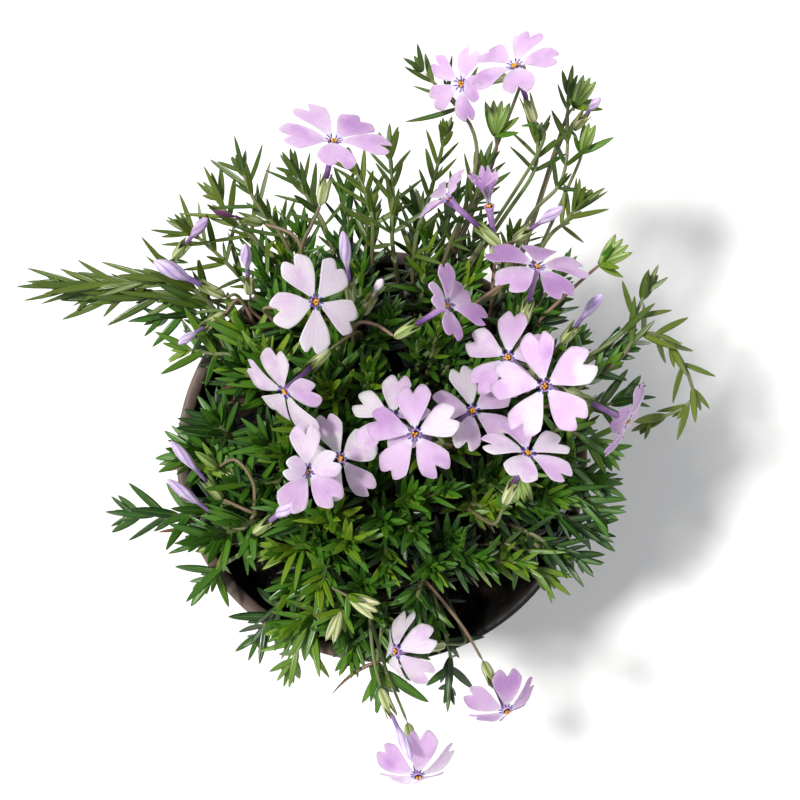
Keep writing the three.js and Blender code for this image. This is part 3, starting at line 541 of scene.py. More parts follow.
class Wiring:
    """Nodes and links of one material or one group. Colours are given as red, green, blue."""

    def __init__(self, tree):
        self.tree = tree

    def node(self, kind, feeds=None, **settings):
        made = self.tree.nodes.new(kind)
        for name, value in settings.items():
            setattr(made, name, value)
        for socket, value in (feeds or {}).items():
            target = made.inputs[socket]
            if isinstance(value, bpy.types.NodeSocket):
                self.tree.links.new(value, target)
            elif target.type == "RGBA":
                target.default_value = (*value, 1)
            else:
                target.default_value = value
        return made

    def math(self, operation, *values):
        made = self.node("ShaderNodeMath", dict(enumerate(values)), operation=operation)
        return made.outputs[0]

    def blend(self, share, first, second):
        feeds = {0: share, 6: first, 7: second}
        return self.node("ShaderNodeMix", feeds, data_type="RGBA").outputs[2]

    def tint(self, mask, most, under, over):
        """Lays one colour over another by a mask, and at most so much of it."""
        return self.blend(self.math("MULTIPLY", mask, most), under, over)

    def ease(self, value, low, high):
        """0 below low, 1 above high, smooth between them."""
        feeds = {"Value": value, "From Min": low, "From Max": high}
        made = self.node("ShaderNodeMapRange", feeds, interpolation_type="SMOOTHSTEP")
        return made.outputs["Result"]

    def fade(self, value, low, high):
        """1 below low, 0 above high, smooth between them."""
        return self.math("SUBTRACT", 1.0, self.ease(value, low, high))

    def lay(self):
        """Across, along and tone of the form that the surface is part of."""
        read = self.node("ShaderNodeAttribute", attribute_name="lay")
        split = self.node("ShaderNodeSeparateXYZ", {"Vector": read.outputs["Vector"]})
        return split.outputs["X"], split.outputs["Y"], split.outputs["Z"]

    def place(self, group, **feeds):
        return self.node("ShaderNodeGroup", feeds, node_tree=GROUPS[group]).outputs

    def mottle(self, scale, contrast, first=BLACK, second=WHITE):
        """Soft blotches between two colours, and their mask."""
        made = self.place("Mottle", Scale=scale, Contrast=contrast, First=first, Second=second)
        return made["Color"], made["Mask"]

    def veins(self, across, count, sharpness):
        return self.place("Veins", Across=across, Count=count, Sharpness=sharpness)["Mask"]

    def grain(self, scale):
        return self.place("Grain", Scale=scale)["Height"]

    # a mask for painted shade: 0 deep in the cushion, 1 at its top
    def depth(self, low, high):
        return self.place("Depth", Low=low, High=high)["Mask"]


GROUPS = {}
FINISHES = {}


def group(name, inputs, outputs):
    """An empty effect group: its wiring, and its input and output nodes."""
    tree = bpy.data.node_groups.new(name, "ShaderNodeTree")
    new_socket = tree.interface.new_socket
    for socket, (kind, value) in inputs.items():
        new_socket(name=socket, in_out="INPUT", socket_type="NodeSocket" + kind).default_value = value
    for socket, kind in outputs.items():
        new_socket(name=socket, in_out="OUTPUT", socket_type="NodeSocket" + kind)
    GROUPS[name] = tree
    wiring = Wiring(tree)
    return wiring, wiring.node("NodeGroupInput").outputs, wiring.node("NodeGroupOutput").inputs


def mottle_group():
    """Soft blotches between two colours, and their mask."""
    w, given, out = group(
        "Mottle",
        {
            "Scale": ("Float", 300.0),
            "Contrast": ("Float", 0.2),
            "First": ("Color", (*BLACK, 1)),
            "Second": ("Color", (*WHITE, 1)),
        },
        {"Color": "Color", "Mask": "Float"},
    )
    place = w.node("ShaderNodeTexCoord").outputs["Object"]
    noise = w.node("ShaderNodeTexNoise", {"Vector": place, "Scale": given["Scale"], "Detail": 3.0})
    low = w.math("SUBTRACT", 0.5, given["Contrast"])
    high = w.math("ADD", 0.5, given["Contrast"])
    mask = w.ease(noise.outputs[0], low, high)
    w.tree.links.new(w.blend(mask, given["First"], given["Second"]), out["Color"])
    w.tree.links.new(mask, out["Mask"])


def veins_group():
    """Fine lines that run along a form, from its place across."""
    w, given, out = group(
        "Veins",
        {"Across": ("Float", 0.0), "Count": ("Float", 8.0), "Sharpness": ("Float", 3.0)},
        {"Mask": "Float"},
    )
    place = w.node("ShaderNodeTexCoord").outputs["Object"]
    waver = w.node("ShaderNodeTexNoise", {"Vector": place, "Scale": 160.0, "Detail": 1.0})
    bent = w.math("MULTIPLY_ADD", waver.outputs[0], 0.12, given["Across"])
    wave = w.math("COSINE", w.math("MULTIPLY", bent, given["Count"]))
    lifted = w.math("MULTIPLY_ADD", wave, 0.5, 0.5)
    w.tree.links.new(w.math("POWER", lifted, given["Sharpness"]), out["Mask"])


def grain_group():
    """A fine uneven height for bump."""
    w, given, out = group("Grain", {"Scale": ("Float", 900.0)}, {"Height": "Float"})
    place = w.node("ShaderNodeTexCoord").outputs["Object"]
    noise = w.node("ShaderNodeTexNoise", {"Vector": place, "Scale": given["Scale"], "Detail": 4.0})
    w.tree.links.new(noise.outputs[0], out["Height"])


def finish(w, colour, roughness, height=None, bump=0.0, **constants):
    """Closes a material: its shader's own sockets hold the constants."""
    feeds = {"Base Color": colour, "Roughness": roughness, **constants}
    shader = w.node("ShaderNodeBsdfPrincipled", feeds)
    if height is not None:
        raised = w.node("ShaderNodeBump", {"Height": height, "Strength": bump, "Distance": 0.0004})
        w.tree.links.new(raised.outputs["Normal"], shader.inputs["Normal"])
    end = w.node("ShaderNodeOutputMaterial")
    w.tree.links.new(shader.outputs[0], end.inputs["Surface"])


def material(name):
    made = bpy.data.materials.new(name)
    made.use_nodes = True
    made.node_tree.nodes.clear()
    FINISHES[name] = made
    return Wiring(made.node_tree)


def painted_shade_group():
    """A mask for painted shade: 0 down in the cushion, where colour is painted dark as shade, and 1 at
    its domed top. Low and
    High are heights from the dome, in metres as Blender's own places are."""
    heights = {"Low": ("Float", -0.02), "High": ("Float", -0.004)}
    w, given, out = group("Depth", heights, {"Mask": "Float"})
    place = w.node("ShaderNodeTexCoord").outputs["Object"]
    split = w.node("ShaderNodeSeparateXYZ", {"Vector": place}).outputs
    east, north = (
        w.math("DIVIDE", w.math("SUBTRACT", split[i], MAT_CENTRE[i] * MM), MAT_HALF[i] * MM)
        for i in range(2)
    )
    spread = w.math("ADD", w.math("MULTIPLY", east, east), w.math("MULTIPLY", north, north))
    dome = w.math("MULTIPLY_ADD", spread, -MAT_FALL * MM, MAT_TOP * MM)
    shaded = w.math("MULTIPLY_ADD", split[0], SHADE_LEAN, dome)
    above = w.math("SUBTRACT", split[2], shaded)
    w.tree.links.new(w.ease(above, given["Low"], given["High"]), out["Mask"])


def leaf_finish():
    """Glossy blades, green or olive: each has its own tone and a pale midrib; some are dry. Down in the
    cushion they are painted near black as shade.
    """
    w = material("leaf")
    across, along, tone = w.lay()
    deep = w.blend(w.ease(tone, 0.0, 0.55), (0.007, 0.038, 0.004), (0.048, 0.155, 0.007))
    fresh = w.blend(w.ease(tone, 0.55, 1.0), deep, (0.165, 0.27, 0.012))
    olive = w.blend(w.ease(tone, 2.0, 3.0), (0.036, 0.078, 0.007), (0.12, 0.16, 0.013))
    own = w.blend(w.ease(tone, 1.85, 1.95), fresh, olive)
    patched, patches = w.mottle(420, 0.25, own, (0.03, 0.105, 0.008))
    body = w.blend(0.25, own, patched)
    rib = w.fade(w.math("ABSOLUTE", across), 0.02, 0.24)
    ribbed = w.tint(rib, 0.35, body, (0.14, 0.23, 0.04))
    rooted = w.tint(w.fade(along, 0.0, 0.22), 0.5, ribbed, (0.14, 0.21, 0.04))
    tipped = w.tint(w.ease(along, 0.93, 1.0), 0.5, rooted, (0.12, 0.09, 0.02))
    dried = w.math("MULTIPLY", w.ease(tone, 1.2, 1.3), w.fade(tone, 1.7, 1.8))
    aged = w.blend(dried, tipped, (0.13, 0.068, 0.03))
    # painted shade: down in the cushion and toward +X the leaf colour goes near black
    dim = w.depth(-0.017, 0.002)
    lit = w.blend(dim, (0.002, 0.008, 0.002), aged)
    lines = w.veins(across, 16.0, 2.0)
    rough = w.math("MULTIPLY_ADD", patches, 0.14, 0.26)
    finish(w, lit, rough, lines, 0.25, **{"Specular IOR Level": 0.45})


def stem_finish():
    """Shoots and stalks: brown and woody low down, green or mauve-brown higher up, and painted dark as
    shade down in the cushion.
    """
    w = material("stem")
    across, along, tone = w.lay()
    green = w.blend(tone, (0.085, 0.165, 0.03), (0.23, 0.13, 0.095))
    grown = w.blend(w.ease(along, 0.1, 0.45), (0.1, 0.06, 0.036), green)
    patched, _ = w.mottle(500, 0.3, grown, (0.26, 0.165, 0.125))
    body = w.blend(0.25, grown, patched)
    # painted shade: down in the cushion the stem colour goes near black
    dim = w.depth(-0.022, -0.004)
    lit = w.blend(dim, (0.008, 0.006, 0.004), body)
    lines = w.veins(across, 19.0, 1.5)
    finish(w, lit, 0.5, lines, 0.3)


def calyx_finish():
    """Five green ribs with pale membranes between them, and darker tips."""
    w = material("calyx")
    across, along, tone = w.lay()
    rib = w.fade(w.math("ABSOLUTE", across), 0.3, 0.62)
    green = w.blend(tone, (0.1, 0.215, 0.022), (0.25, 0.29, 0.08))
    pale = w.blend(tone, (0.33, 0.46, 0.11), (0.7, 0.68, 0.45))
    striped = w.blend(rib, pale, green)
    patched, _ = w.mottle(650, 0.3, striped, (0.2, 0.115, 0.095))
    body = w.blend(0.15, striped, patched)
    tipped = w.tint(w.ease(along, 0.85, 1.0), 0.5, body, (0.07, 0.13, 0.025))
    lines = w.veins(across, 12.0, 2.0)
    finish(w, tipped, 0.45, lines, 0.3)


def petal_finish():
    """Lilac petals, some more violet, partly as painted shade: paler at the eye, where each has two
    indigo dashes.
    """
    w = material("petal")
    out, across, violet = w.lay()
    away = w.math("ABSOLUTE", across)
    squares = w.math("MULTIPLY", out, out), w.math("MULTIPLY", across, across)
    radius = w.math("SQRT", w.math("ADD", *squares))
    _, flecks = w.mottle(110, 0.2)
    uneven = w.math("ADD", violet, w.math("MULTIPLY_ADD", flecks, 0.6, -0.3))
    # more violet petals are partly their own colour, partly painted shade
    light = w.blend(w.ease(uneven, 0.0, 0.5), (0.7, 0.545, 0.74), (0.5, 0.3, 0.57))
    body = w.blend(w.ease(uneven, 0.5, 1.1), light, (0.28, 0.13, 0.345))
    middle = w.blend(w.ease(radius, 1.5, 8.0), w.blend(0.3, body, (0.72, 0.6, 0.79)), body)
    spread = w.math("DIVIDE", across, w.math("ADD", radius, 1.0))
    veins = w.veins(spread, 46.0, 4.0)
    veined = w.tint(veins, 0.14, middle, (0.45, 0.23, 0.58))
    eyed = w.tint(w.fade(radius, 1.7, 3.3), 0.75, veined, (0.64, 0.58, 0.77))
    off_line = w.math("SUBTRACT", away, w.math("MULTIPLY", out, 0.325))
    past = w.math("DIVIDE", w.math("SUBTRACT", radius, 1.5), 0.52)
    beside = w.math("DIVIDE", off_line, 0.31)
    reach = w.math("ADD", w.math("MULTIPLY", past, past), w.math("MULTIPLY", beside, beside))
    dash = w.fade(reach, 0.6, 1.2)
    dashed = w.blend(dash, eyed, (0.03, 0.018, 0.24))
    inner = w.fade(radius, 0.9, 1.15)
    throated = w.blend(inner, dashed, (0.16, 0.06, 0.2))
    translucent = {
        "Subsurface Weight": 0.9,
        "Subsurface Radius": (1.0, 0.8, 1.1),
        "Subsurface Scale": 0.0025,
        "Sheen Weight": 0.1,
    }
    finish(w, throated, 0.55, veins, 0.08, **translucent)


def tube_finish():
    """The flower's tube, lilac to violet outside, and painted dark as shade inside its throat."""
    w = material("tube")
    across, along, violet = w.lay()
    light = w.blend(w.ease(along, 0.0, 0.9), (0.3, 0.15, 0.4), (0.5, 0.33, 0.56))
    dark = w.blend(w.ease(along, 0.0, 0.9), (0.11, 0.035, 0.18), (0.33, 0.17, 0.44))
    patched, _ = w.mottle(500, 0.3, light, dark)
    aged = w.blend(violet, dark, patched)
    lines = w.veins(across, 25.0, 2.0)
    # painted shade: inside the throat the tube goes near black
    deep = w.blend(w.ease(along, 1.02, 1.1), aged, (0.05, 0.015, 0.06))
    finish(w, deep, 0.5, lines, 0.2)


def anther_finish():
    w = material("anther")
    pollen, _ = w.mottle(1600, 0.2, (0.66, 0.27, 0.015), (0.86, 0.48, 0.035))
    finish(w, pollen, 0.7, w.grain(5000.0), 0.6)


def bud_finish():
    """Furled petals: pale lilac with violet seams, on a violet tube."""
    w = material("bud")
    seam, along, tone = w.lay()
    edge = w.fade(seam, 0.03, 0.3)
    pale, _ = w.mottle(320, 0.25, (0.56, 0.43, 0.72), (0.7, 0.6, 0.78))
    furled = w.tint(edge, 0.65, pale, (0.24, 0.13, 0.4))
    rooted = w.tint(w.fade(along, 0.2, 0.42), 0.85, furled, (0.17, 0.075, 0.27))
    spent = w.blend(w.ease(tone, 0.0, 1.0), rooted, (0.15, 0.04, 0.13))
    young = w.blend(w.ease(tone, -1.0, 0.0), (0.72, 0.7, 0.64), spent)
    lines = w.veins(seam, 25.0, 2.0)
    finish(w, young, 0.5, lines, 0.2, **{"Subsurface Weight": 0.25, "Subsurface Scale": 0.001})


def pot_finish():
    """Taupe nursery plastic with fine scuffs, darker down its inside wall, and painted dark as shade on
    one side of its rim.
    """
    w = material("pot")
    darkening, _, _ = w.lay()
    plastic, _ = w.mottle(45, 0.3, (0.12, 0.086, 0.074), (0.155, 0.114, 0.1))
    _, dust = w.mottle(420, 0.12)
    dusted = w.tint(dust, 0.18, plastic, (0.26, 0.2, 0.16))
    uneven = w.math("ADD", darkening, w.math("MULTIPLY_ADD", dust, 0.3, -0.15))
    # near black: darker down the inside wall, and painted shade on one side of the rim
    darkened = w.blend(w.ease(uneven, 0.25, 0.65), dusted, (0.004, 0.003, 0.002))
    rough = w.math("MULTIPLY_ADD", dust, 0.15, 0.5)
    finish(w, darkened, rough, w.grain(1400.0), 0.15, **{"Specular IOR Level": 0.25})


def soil_finish():
    """Dark peat, painted near black as shade, with browner crumbs and paler bits of bark."""
    w = material("soil")
    _, _, tone = w.lay()
    # partly the peat's own dark colour, partly painted shade: near black
    peat_and_shade, _ = w.mottle(600, 0.15, (0.003, 0.002, 0.0015), (0.011, 0.007, 0.005))
    bark = w.blend(w.ease(tone, 0.6, 0.98), peat_and_shade, (0.038, 0.022, 0.013))
    finish(w, bark, 0.95, w.grain(1500.0), 0.9, **{"Specular IOR Level": 0.15})


def make_finishes():
    mottle_group()
    veins_group()
    grain_group()
    painted_shade_group()
    leaf_finish()
    stem_finish()
    calyx_finish()
    petal_finish()
    tube_finish()
    anther_finish()
    bud_finish()
    pot_finish()
    soil_finish()


# ---------- pot and soil ----------


def pot_inside(z):
    return mix(FOOT_RADIUS - WALL, RIM_RADIUS - COLLAR_STEP - WALL, z / POT_HEIGHT)


def drill_drains(piece):
    """Cuts the round drain holes through the floor of the pot."""
    drills = []
    for i in range(DRAIN_HOLES):
        angle = i * 2 * math.pi / DRAIN_HOLES
        centre = DRAIN_CIRCLE * vec(math.cos(angle), math.sin(angle), 0)
        profile = [(DRAIN_RADIUS, -FLOOR), (DRAIN_RADIUS, 2 * FLOOR)]
        rings = turned(centre, UP, profile, DRAIN_SIDES)
        drill = add_object("drill", new_mesh("drill", rings, loft_faces((DRAIN_SIDES, DRAIN_SIDES))))
        cut = piece.modifiers.new("drain", "BOOLEAN")
        cut.operation = "DIFFERENCE"
        cut.object = drill
        drills.append(drill)
    graph = bpy.context.evaluated_depsgraph_get()
    piece.data = bpy.data.meshes.new_from_object(piece.evaluated_get(graph))
    piece.modifiers.clear()
    for drill in drills:
        bpy.data.objects.remove(drill)


def darkening_at(point):
    """How dark the pot is painted: darker down its inside wall, and painted shade on one side of its
    rim.
    """
    out = math.hypot(point[0], point[1])
    off = abs(math.degrees(math.atan2(point[1], point[0])) - RIM_SHADE_TURN)
    rim_shade = held((RIM_SHADE_SPREAD - off) / 10)
    # darker down the inside wall, from just below the rim
    if point[2] > FLOOR + 1 and out < pot_inside(point[2]) + 0.5 * WALL:
        return max(rim_shade, min(1, (POT_HEIGHT + 1 - point[2]) / 6))
    # painted shade on the top of the rim, on one side
    return rim_shade * held((point[2] - POT_HEIGHT + 2) / 1.5)


def pot_shell():
    def outside(z):
        return pot_inside(z) + WALL

    under = POT_HEIGHT - COLLAR_HEIGHT
    profile = [(0, 0), (FOOT_RADIUS - 6, 0), (FOOT_RADIUS - 1.2, 0), (FOOT_RADIUS - 0.3, 0.3)]
    profile += [(outside(z), z) for z in (1.2, 3, 20, 40, 60, under - 1)]
    profile += [
        (outside(under) + 0.2, under - 0.3),
        (outside(under) + COLLAR_STEP - 0.5, under + 0.2),
        (outside(under) + COLLAR_STEP, under + 0.9),
        (outside(under) + COLLAR_STEP + 0.1, under + 2),
        (RIM_RADIUS - 0.15, POT_HEIGHT - 2.4),
        (RIM_RADIUS, POT_HEIGHT - 1.4),
        (RIM_RADIUS - 0.05, POT_HEIGHT - 0.7),
        (RIM_RADIUS - 0.3, POT_HEIGHT - 0.2),
        (RIM_RADIUS - 0.7, POT_HEIGHT),
        (RIM_RADIUS - RIM_WIDTH + 0.5, POT_HEIGHT),
        (RIM_RADIUS - RIM_WIDTH + 0.1, POT_HEIGHT - 0.2),
        (pot_inside(POT_HEIGHT - 1), POT_HEIGHT - 1),
    ]
    profile += [(pot_inside(z), z) for z in (POT_HEIGHT - 3, 75, 50, 25, FLOOR + 1.5)]
    profile += [(pot_inside(FLOOR) - 0.9, FLOOR + 0.2), (pot_inside(FLOOR) - 3, FLOOR), (0, FLOOR)]
    pile = Pile("pot")
    pile.loft(turned(0 * UP, UP, profile, POT_SIDES), "pot", (0, 0, 0))
    piece = pile.build("pot_shell", "pot")
    drill_drains(piece)
    mesh = piece.data
    lay = mesh.attributes.get("lay") or mesh.attributes.new("lay", "FLOAT_VECTOR", "POINT")
    pot_darkening = [(darkening_at(vertex.co / MM), 0, 0) for vertex in mesh.vertices]
    lay.data.foreach_set("vector", np.array(pot_darkening, np.float32).ravel())


def soil_height(x, y):
    """The lumpy top of the soil: broad swells with finer clods on them."""
    swell = np.sin(x * 0.31 + 1) * np.cos(y * 0.27) + np.sin((x + y) * 0.17)
    clods = np.sin(x * 1.3 + 2 * np.sin(y * 0.7)) * np.sin(y * 1.1 + 1.5 * np.sin(x * 0.9))
    fine = np.sin(x * 2.9 + y * 1.7) * np.sin(y * 3.3 - x * 1.2)
    return SOIL_TOP + SOIL_LUMP * swell + 0.7 * clods + 0.3 * fine


def soil_mix():
    """The root ball: a filled disc with a clodded top, and loose crumbs lying on it."""
    low = FLOOR + SOIL_GAP
    wide = pot_inside(SOIL_TOP) - SOIL_GAP
    profile = [(0, low), (pot_inside(low) - 1.5, low), (wide - 0.4, SOIL_TOP - 6)]
    rings = turned(0 * UP, UP, profile, SOIL_SIDES)
    for share in np.linspace(1, 0.03, SOIL_RINGS):
        ring = turned(0 * UP, UP, [(wide * share, 0)], SOIL_SIDES)[0]
        ring[:, 2] = soil_height(ring[:, 0], ring[:, 1]) - 1.6 * max(0, share - 0.9) * 10
        rings.append(ring)
    rings.append(vec(0, 0, soil_height(0, 0))[None])
    pile = Pile("soil")
    pile.loft(rings, "soil", (0, 0, 0.2))
    draw = seeded(17)
    for _ in range(CRUMBS):
        radius = (wide - 3) * math.sqrt(draw())
        angle = 2 * math.pi * draw()
        size = mix(0.5, 1.9, draw() ** 2)
        x, y = radius * math.cos(angle), radius * math.sin(angle)
        centre = vec(x, y, soil_height(x, y) + 0.2 * size)
        pellet(pile, centre, facing(360 * draw(), 90 * draw()), size * 2.4, size, "soil", draw(), draw)
    pile.build("soil_mix", "soil")


def pellet(pile, centre, way, length, width, finish_name, tone, draw=None):
    """A small closed lump, longer than wide. With a draw its rings are uneven."""
    side, face = square_to(way)
    rings = [(centre - way * length / 2)[None]]
    for share in (-0.62, 0, 0.62):
        radius = width / 2 * math.sqrt(1 - share * share)
        uneven = [mix(0.75, 1.2, draw()) if draw else 1 for _ in range(6)]
        at = centre + way * length / 2 * share
        rings.append(circle(at, side, face, radius * np.array(uneven), 6))
    rings.append((centre + way * length / 2)[None])
    pile.loft(rings, finish_name, (0, 0, tone))


# ---------- where things grow ----------


def root_place(i):
    radius = ROOT_CIRCLE * math.sqrt((i + 0.5) / SPRAYS)
    return vec(radius * math.cos(i * GOLDEN_ANGLE), radius * math.sin(i * GOLDEN_ANGLE), SOIL_TOP)


def spray_near(x, y):
    """The spray that a place above the pot belongs to: the cushion is wider than its roots."""
    share = ROOT_CIRCLE / ((MAT_HALF[0] + MAT_HALF[1]) / 2)
    at = vec((x - MAT_CENTRE[0]) * share, (y - MAT_CENTRE[1]) * share, SOIL_TOP)
    return int(np.argmin([np.linalg.norm(root_place(i) - at) for i in range(SPRAYS)]))


def crown_of(i, toward, draw):
    """Where a shoot leaves the root stem of its spray, on the side that it leans to."""
    root = root_place(i)
    angle = math.atan2(toward[1] - root[1], toward[0] - root[0])
    crown = root + CROWN_SPREAD * vec(math.cos(angle), math.sin(angle), 0)
    crown[2] += mix(*CROWN_RISE, draw()) * CROWN_HEIGHT
    return crown


def in_hollow(x, y):
    return any(math.hypot(x - at[0], y - at[1]) < at[2] for at in HOLLOWS)


def mat_shoots():
    """The shoots of the cushion, spread evenly over it and tallest in its middle."""
    shoots = []
    for i in range(MAT_SHOOTS):
        draw = seeded(i)
        radius = math.sqrt((i + 0.5) / MAT_SHOOTS)
        angle = i * GOLDEN_ANGLE
        tip = vec(
            MAT_CENTRE[0] + MAT_HALF[0] * radius * math.cos(angle) + MAT_JITTER * (draw() - 0.5),
            MAT_CENTRE[1] + MAT_HALF[1] * radius * math.sin(angle) + MAT_JITTER * (draw() - 0.5),
            MAT_TOP - MAT_FALL * radius**2 + 2 * MAT_JITTER * (draw() - 0.5),
        )
        if in_hollow(tip[0], tip[1]):
            continue
        spray = spray_near(tip[0], tip[1])
        crown = crown_of(spray, tip, draw)
        bend = mix(crown, tip, 0.5)
        bend[2] = mix(crown[2], tip[2], mix(0.6, 0.85, radius))
        shoots.append(Growth("mat", i, spray, [crown, bend, tip], SHOOT_RADIUS, SHOOT_PAIRS, MAT_BARE))
    return shoots


def long_shoots():
    shoots = []
    for key, (pairs, by, bare, arm, olive) in enumerate(LONG_SHOOTS, SEEDS["long"]):
        spray = spray_near(by[0][0], by[0][1])
        curve = [crown_of(spray, by[0], seeded(key)), *by]
        kind = "arm" if arm else "long"
        olive = olive or by[-1][1] > OLIVE_BEYOND
        shoots.append(Growth(kind, key, spray, curve, LONG_SHOOT_RADIUS, pairs, bare, olive))
    return shoots


def stalk_to(foot, way, key, by, calyxes, cream=0):
    """A stalk from the crown of a spray to the foot of a calyx. It passes the places given,
    or enters the calyx along it."""
    leaving = by[0] if by else foot
    spray = spray_near(leaving[0], leaving[1])
    crown = crown_of(spray, leaving, seeded(key))
    if by:
        curve = [crown, *by, foot]
    else:
        neck = foot - STALK_NECK * way
        neck[2] = max(neck[2] - NECK_SAG, LOWEST_NECK)
        bend = mix(crown, neck, 0.5)
        bend[2] = mix(crown[2], neck[2], 0.7)
        curve = [crown, bend, neck, foot]
    return Growth("stalk", key, spray, curve, STALK_RADIUS, STALK_PAIRS, STALK_BARE, False,
                  bool(by), calyxes, cream)


def calyx_foot(flower):
    at, way = aimed(flower)
    return at - way * (TUBE_SHOWN + CALYX_LENGTH)


def shut_ways(head):
    """The ways that the shut calyxes of a head point, fanned about the head's own."""
    middle = (head.calyxes - 1) / 2
    return [facing(head.turn + SHUT_SPREAD * (k - middle), head.tilt) for k in range(head.calyxes)]


def stalks():
    """Every stalk, with the calyx or calyxes that it carries: foot, way and open or shut."""
    grown = []
    for key, flower in enumerate(FLOWERS, SEEDS["bloom"]):
        foot, way = calyx_foot(flower), aimed(flower)[1]
        grown.append(stalk_to(foot, way, key, flower.by, [(foot, way, True)]))
    for key, bud in enumerate(BUDS, SEEDS["bud"]):
        foot, way = aimed(bud)
        grown.append(stalk_to(foot, way, key, bud.by, [(foot, way, True)]))
    for key, head in enumerate(GREEN_HEADS, SEEDS["head"]):
        foot, way = aimed(head)
        shut = [(foot, each, False) for each in shut_ways(head)]
        grown.append(stalk_to(foot, way, key, head.by, shut, head.cream))
    return grown


# ---------- keeping leaves clear of flowers, buds and pot ----------

PETAL_MARGIN = 1.3
REACH_MARGIN = 0.5
WALL_MARGIN = 1.2
FACES, FACE_WAYS = (np.array(each) for each in zip(*(aimed(flower) for flower in FLOWERS)))
FACE_REACH = np.array([flower.reach for flower in FLOWERS]) + REACH_MARGIN
FACE_CUPS = np.radians([flower.cup for flower in FLOWERS])
FACE_FOLDS = np.radians([flower.fold for flower in FLOWERS])


def spoke_of(flower, angle):
    """A spoke of a flower's face, at an angle about Z that is counted before it tilts."""
    turn = math.radians(flower.turn)
    flat_y = vec(-math.sin(turn), math.cos(turn), 0)
    flat_x = np.cross(flat_y, facing(flower.turn, flower.tilt))
    return flat_x * math.cos(angle - turn) + flat_y * math.sin(angle - turn)


def rise_toward(flower, spoke):
    """How steeply a flower's petals rise toward a spoke, in radians."""
    toward = spoke @ spoke_of(flower, math.radians(flower.axis))
    return math.radians(flower.cup + flower.fold * toward**2)


FACE_AXES = np.array([spoke_of(flower, math.radians(flower.axis)) for flower in FLOWERS])


def spindles():
    """Round stretches that leaves keep off: buds, calyxes and flower tubes."""
    stretches = []
    for bud in BUDS:
        foot, way = aimed(bud)
        stretches.append((foot + way, foot + way * (CALYX_LENGTH + bud.shown)))
    for at, way in zip(FACES, FACE_WAYS):
        stretches.append((at - way * (TUBE_SHOWN + CALYX_LENGTH - 1), at))
    for head in GREEN_HEADS:
        for way in shut_ways(head):
            foot = vec(*head.at)
            stretches.append((foot + way, foot + way * CALYX_LENGTH))
    return np.array(stretches)


SPINDLES = spindles()
SPINDLE_MARGIN = 1.9
STALK_CLEARING = 1.5


def meets_flower(points):
    gaps = points[:, None] - FACES
    height = np.einsum("pfi,fi->pf", gaps, FACE_WAYS)
    sideways = gaps - height[:, :, None] * FACE_WAYS
    out = np.linalg.norm(sideways, axis=2)
    toward = np.einsum("pfi,fi->pf", sideways, FACE_AXES) / out
    rise = FACE_CUPS + FACE_FOLDS * toward**2
    reached = out * np.cos(rise) + height * np.sin(rise)
    off = np.abs(height * np.cos(rise) - out * np.sin(rise))
    petals = (reached > 0) & (reached < FACE_REACH) & (off < PETAL_MARGIN)
    return bool(petals.any())


def meets_spindle(points):
    start, run = SPINDLES[:, 0], SPINDLES[:, 1] - SPINDLES[:, 0]
    gaps = points[:, None] - start
    share = np.clip(np.einsum("psi,si->ps", gaps, run) / np.einsum("si,si->s", run, run), 0, 1)
    apart = np.linalg.norm(gaps - share[:, :, None] * run, axis=2)
    return bool((apart < SPINDLE_MARGIN).any())


def bent_stalk_places():
    """Places along the upper part of each stalk that passes given places: these show."""
    places = []
    for stalk in stalks():
        if stalk.shown:
            places.append(curve_points(stalk.curve, np.linspace(0.4, 1, 26)))
    return np.vstack(places)


def hides_stalk(points):
    """True where a leaf would lie over one of the stalks that show from above."""
    gaps = points[:, None] - BENT_STALKS
    near = np.hypot(gaps[:, :, 0], gaps[:, :, 1]) < STALK_CLEARING
    return bool((near & (gaps[:, :, 2] > -1)).any())


def meets_pot(points):
    out = np.hypot(points[:, 0], points[:, 1])
    inside = pot_inside(points[:, 2])
    low = points[:, 2] < POT_HEIGHT + 1
    in_soil = (out < inside) & (points[:, 2] < SOIL_TOP + 1)
    in_wall = (out > inside - WALL_MARGIN) & (out < RIM_RADIUS + WALL_MARGIN)
    return bool((low & (in_soil | in_wall)).any())


BENT_STALKS = bent_stalk_places()
IN_THE_WAY = (meets_flower, meets_spindle, meets_pot, hides_stalk)

# ---------- foliage ----------


def leaf_line(leaf, shares):
    root, way, across, above, length, curl, sway = leaf
    s = np.asarray(shares)[:, None]
    return root + way * length * s + (above * curl + across * sway) * length * s**2


def leaf_on(frame_at, turn, opening, length, curl, sway):
    """A leaf's line: turned about its shoot, and opened from it."""
    point, way, side, face = frame_at
    out = side * math.cos(turn) + face * math.sin(turn)
    line = way * math.cos(opening) + out * math.sin(opening)
    level = unit(np.cross(UP, line))
    own = unit(np.cross(way, line))
    across = unit(mix(own if own @ level > 0 else -own, level, LEAF_LEVEL))
    return point, line, across, np.cross(line, across), length, curl, sway


def add_leaf(pile, leaf, width, tone):
    """A closed blade: channelled above, keeled below and drawn out to a point."""
    s = LEAF_STATIONS
    across, above = leaf[2], leaf[3]
    half = width / 2 * np.minimum(1, 2.15 * np.sqrt(s + 0.04) * (1 - s) ** 0.72)
    middle = leaf_line(leaf, s)
    spread = LEAF_RING[:, 0][None, :, None] * across * half[:, None, None]
    rise = LEAF_RING[:, 1][None, :, None] * above * 2 * half[:, None, None]
    rings = list(middle[:, None] + spread + rise)
    rings.append(leaf_line(leaf, [1.0]))
    pile.loft(rings, "leaf", lays_of(rings, LEAF_RING[:, 0], [*s, 1], tone))


